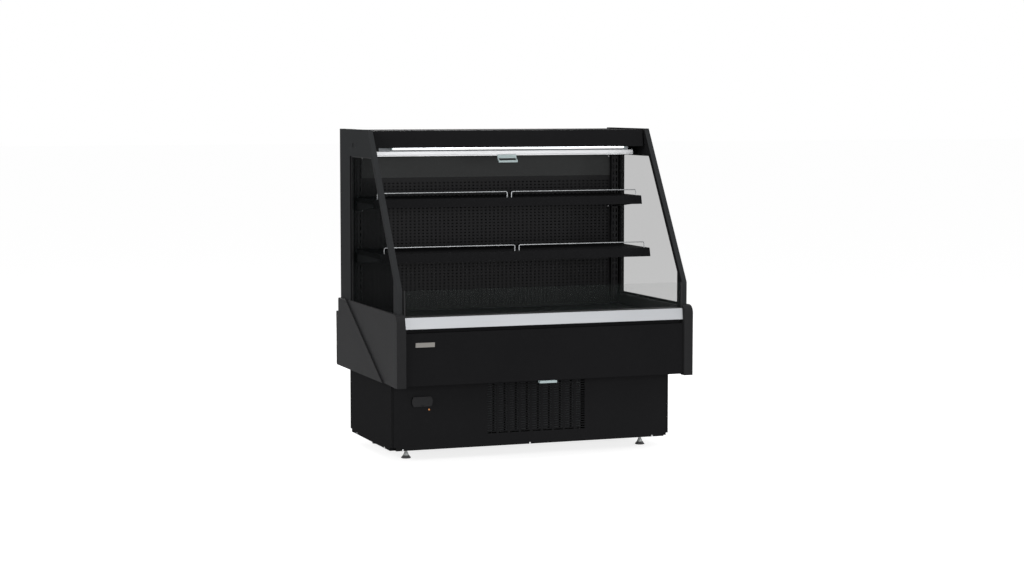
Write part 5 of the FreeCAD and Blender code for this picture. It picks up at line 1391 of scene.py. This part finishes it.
class FRIDGE_OT_curtain(bpy.types.Operator):
    """Night curtain: the cloth wound on its roller and the stretch down to the pull bar"""
    bl_idname = "fridge.curtain"
    bl_label = "Night curtain"

    def execute(self, context):
        sizes = context.scene.fridge_sizes
        low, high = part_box("curtain_roll")
        axis_y, axis_z = (low.y + high.y) / 2, (low.z + high.z) / 2
        outer = (high.y - low.y) / 2
        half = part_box("canopy_top")[1].x - sizes.roll_end_gap
        steps = 40
        turns = sizes.curtain_turns
        spiral = []
        for step in range(int(steps * turns) + 1):
            angle = 2 * math.pi * step / steps - math.pi
            radius = outer - 0.3 * MM - sizes.cloth_step * (turns - step / steps)
            spiral.append((axis_y + radius * math.cos(angle), axis_z - radius * math.sin(angle)))
        cloth = bmesh.new()
        columns = [[cloth.verts.new((x, y, z)) for y, z in spiral] for x in (-half, half)]
        for index in range(len(spiral) - 1):
            cloth.faces.new((columns[0][index], columns[0][index + 1],
                             columns[1][index + 1], columns[1][index]))
        mesh = finished(cloth, "wound_curtain", "curtain_cloth")
        wound = new_piece("wound_curtain", mesh, "curtain_roll", "curtain_cloth")

        tube = bmesh.new()
        turn = Matrix.Translation((0, axis_y, axis_z)) @ Matrix.Rotation(math.radians(90), 4, "Y")
        core = outer - sizes.cloth_step * turns - 1.2 * MM
        pin = sizes.axle_radius
        end = high.x
        add_turned(tube, [(0, -end), (pin - 0.6 * MM, -end), (pin, -end + 0.6 * MM), (pin, -half - 2 * MM),
                          (core, -half - 2 * MM), (core, half + 2 * MM), (pin, half + 2 * MM),
                          (pin, end - 0.6 * MM), (pin - 0.6 * MM, end), (0, end)], 40, turn)
        roller = finished(tube, "roller", "rail_aluminium")
        new_piece("roller", roller, "curtain_roll", "curtain_cloth", "curtain_roll")

        bar_low, bar_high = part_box("curtain_bar")
        start = (axis_y - outer, axis_z)
        stop = ((bar_low.y + bar_high.y) / 2, bar_high.z - 1 * MM)
        rows = 12
        drop = bmesh.new()
        lines = []
        for row in range(rows + 1):
            share = row / rows
            y = start[0] + (stop[0] - start[0]) * share
            z = start[1] + (stop[1] - start[1]) * share
            lines.append([drop.verts.new((x, y, z)) for x in (-half, half)])
        for above, below in zip(lines, lines[1:]):
            drop.faces.new((above[0], above[1], below[1], below[0]))
        mesh = finished(drop, "curtain_drop", "curtain_cloth")
        strip = new_piece("curtain_drop", mesh, None, "curtain_cloth")
        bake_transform(strip)
        return {"FINISHED"}


OPERATORS = (FRIDGE_OT_stage, FRIDGE_OT_finishes, FRIDGE_OT_panels, FRIDGE_OT_bumpers,
             FRIDGE_OT_bushes, FRIDGE_OT_controls, FRIDGE_OT_coils, FRIDGE_OT_fans,
             FRIDGE_OT_back_panel, FRIDGE_OT_screws, FRIDGE_OT_grille, FRIDGE_OT_lamp,
             FRIDGE_OT_feet, FRIDGE_OT_curtain)


class FRIDGE_PT_builders(bpy.types.Panel):
    """The builders of the display fridge, in their order"""
    bl_idname = "FRIDGE_PT_builders"
    bl_label = "Display fridge"
    bl_space_type = "VIEW_3D"
    bl_region_type = "UI"
    bl_category = "Fridge"

    def draw(self, context):
        for builder in OPERATORS:
            self.layout.operator(builder.bl_idname)


CLASSES = (FridgeSizes, FridgeColours) + OPERATORS + (FRIDGE_PT_builders,)


def register():
    for cls in CLASSES:
        bpy.utils.register_class(cls)
    bpy.types.Scene.fridge_sizes = bpy.props.PointerProperty(type=FridgeSizes)
    bpy.types.Scene.fridge_colours = bpy.props.PointerProperty(type=FridgeColours)


def unregister():
    del bpy.types.Scene.fridge_colours
    del bpy.types.Scene.fridge_sizes
    for cls in reversed(CLASSES):
        bpy.utils.unregister_class(cls)


def main():
    register()
    bpy.ops.fridge.stage()
    bpy.ops.fridge.finishes()
    bpy.ops.fridge.panels()
    bpy.ops.fridge.bumpers()
    bpy.ops.fridge.bushes()
    bpy.ops.fridge.controls()
    bpy.ops.fridge.coils()
    bpy.ops.fridge.fans()
    bpy.ops.fridge.back_panel()
    bpy.ops.fridge.screws()
    bpy.ops.fridge.grille()
    bpy.ops.fridge.lamp()
    bpy.ops.fridge.feet()
    bpy.ops.fridge.curtain()


if __name__ == "__main__":
    main()
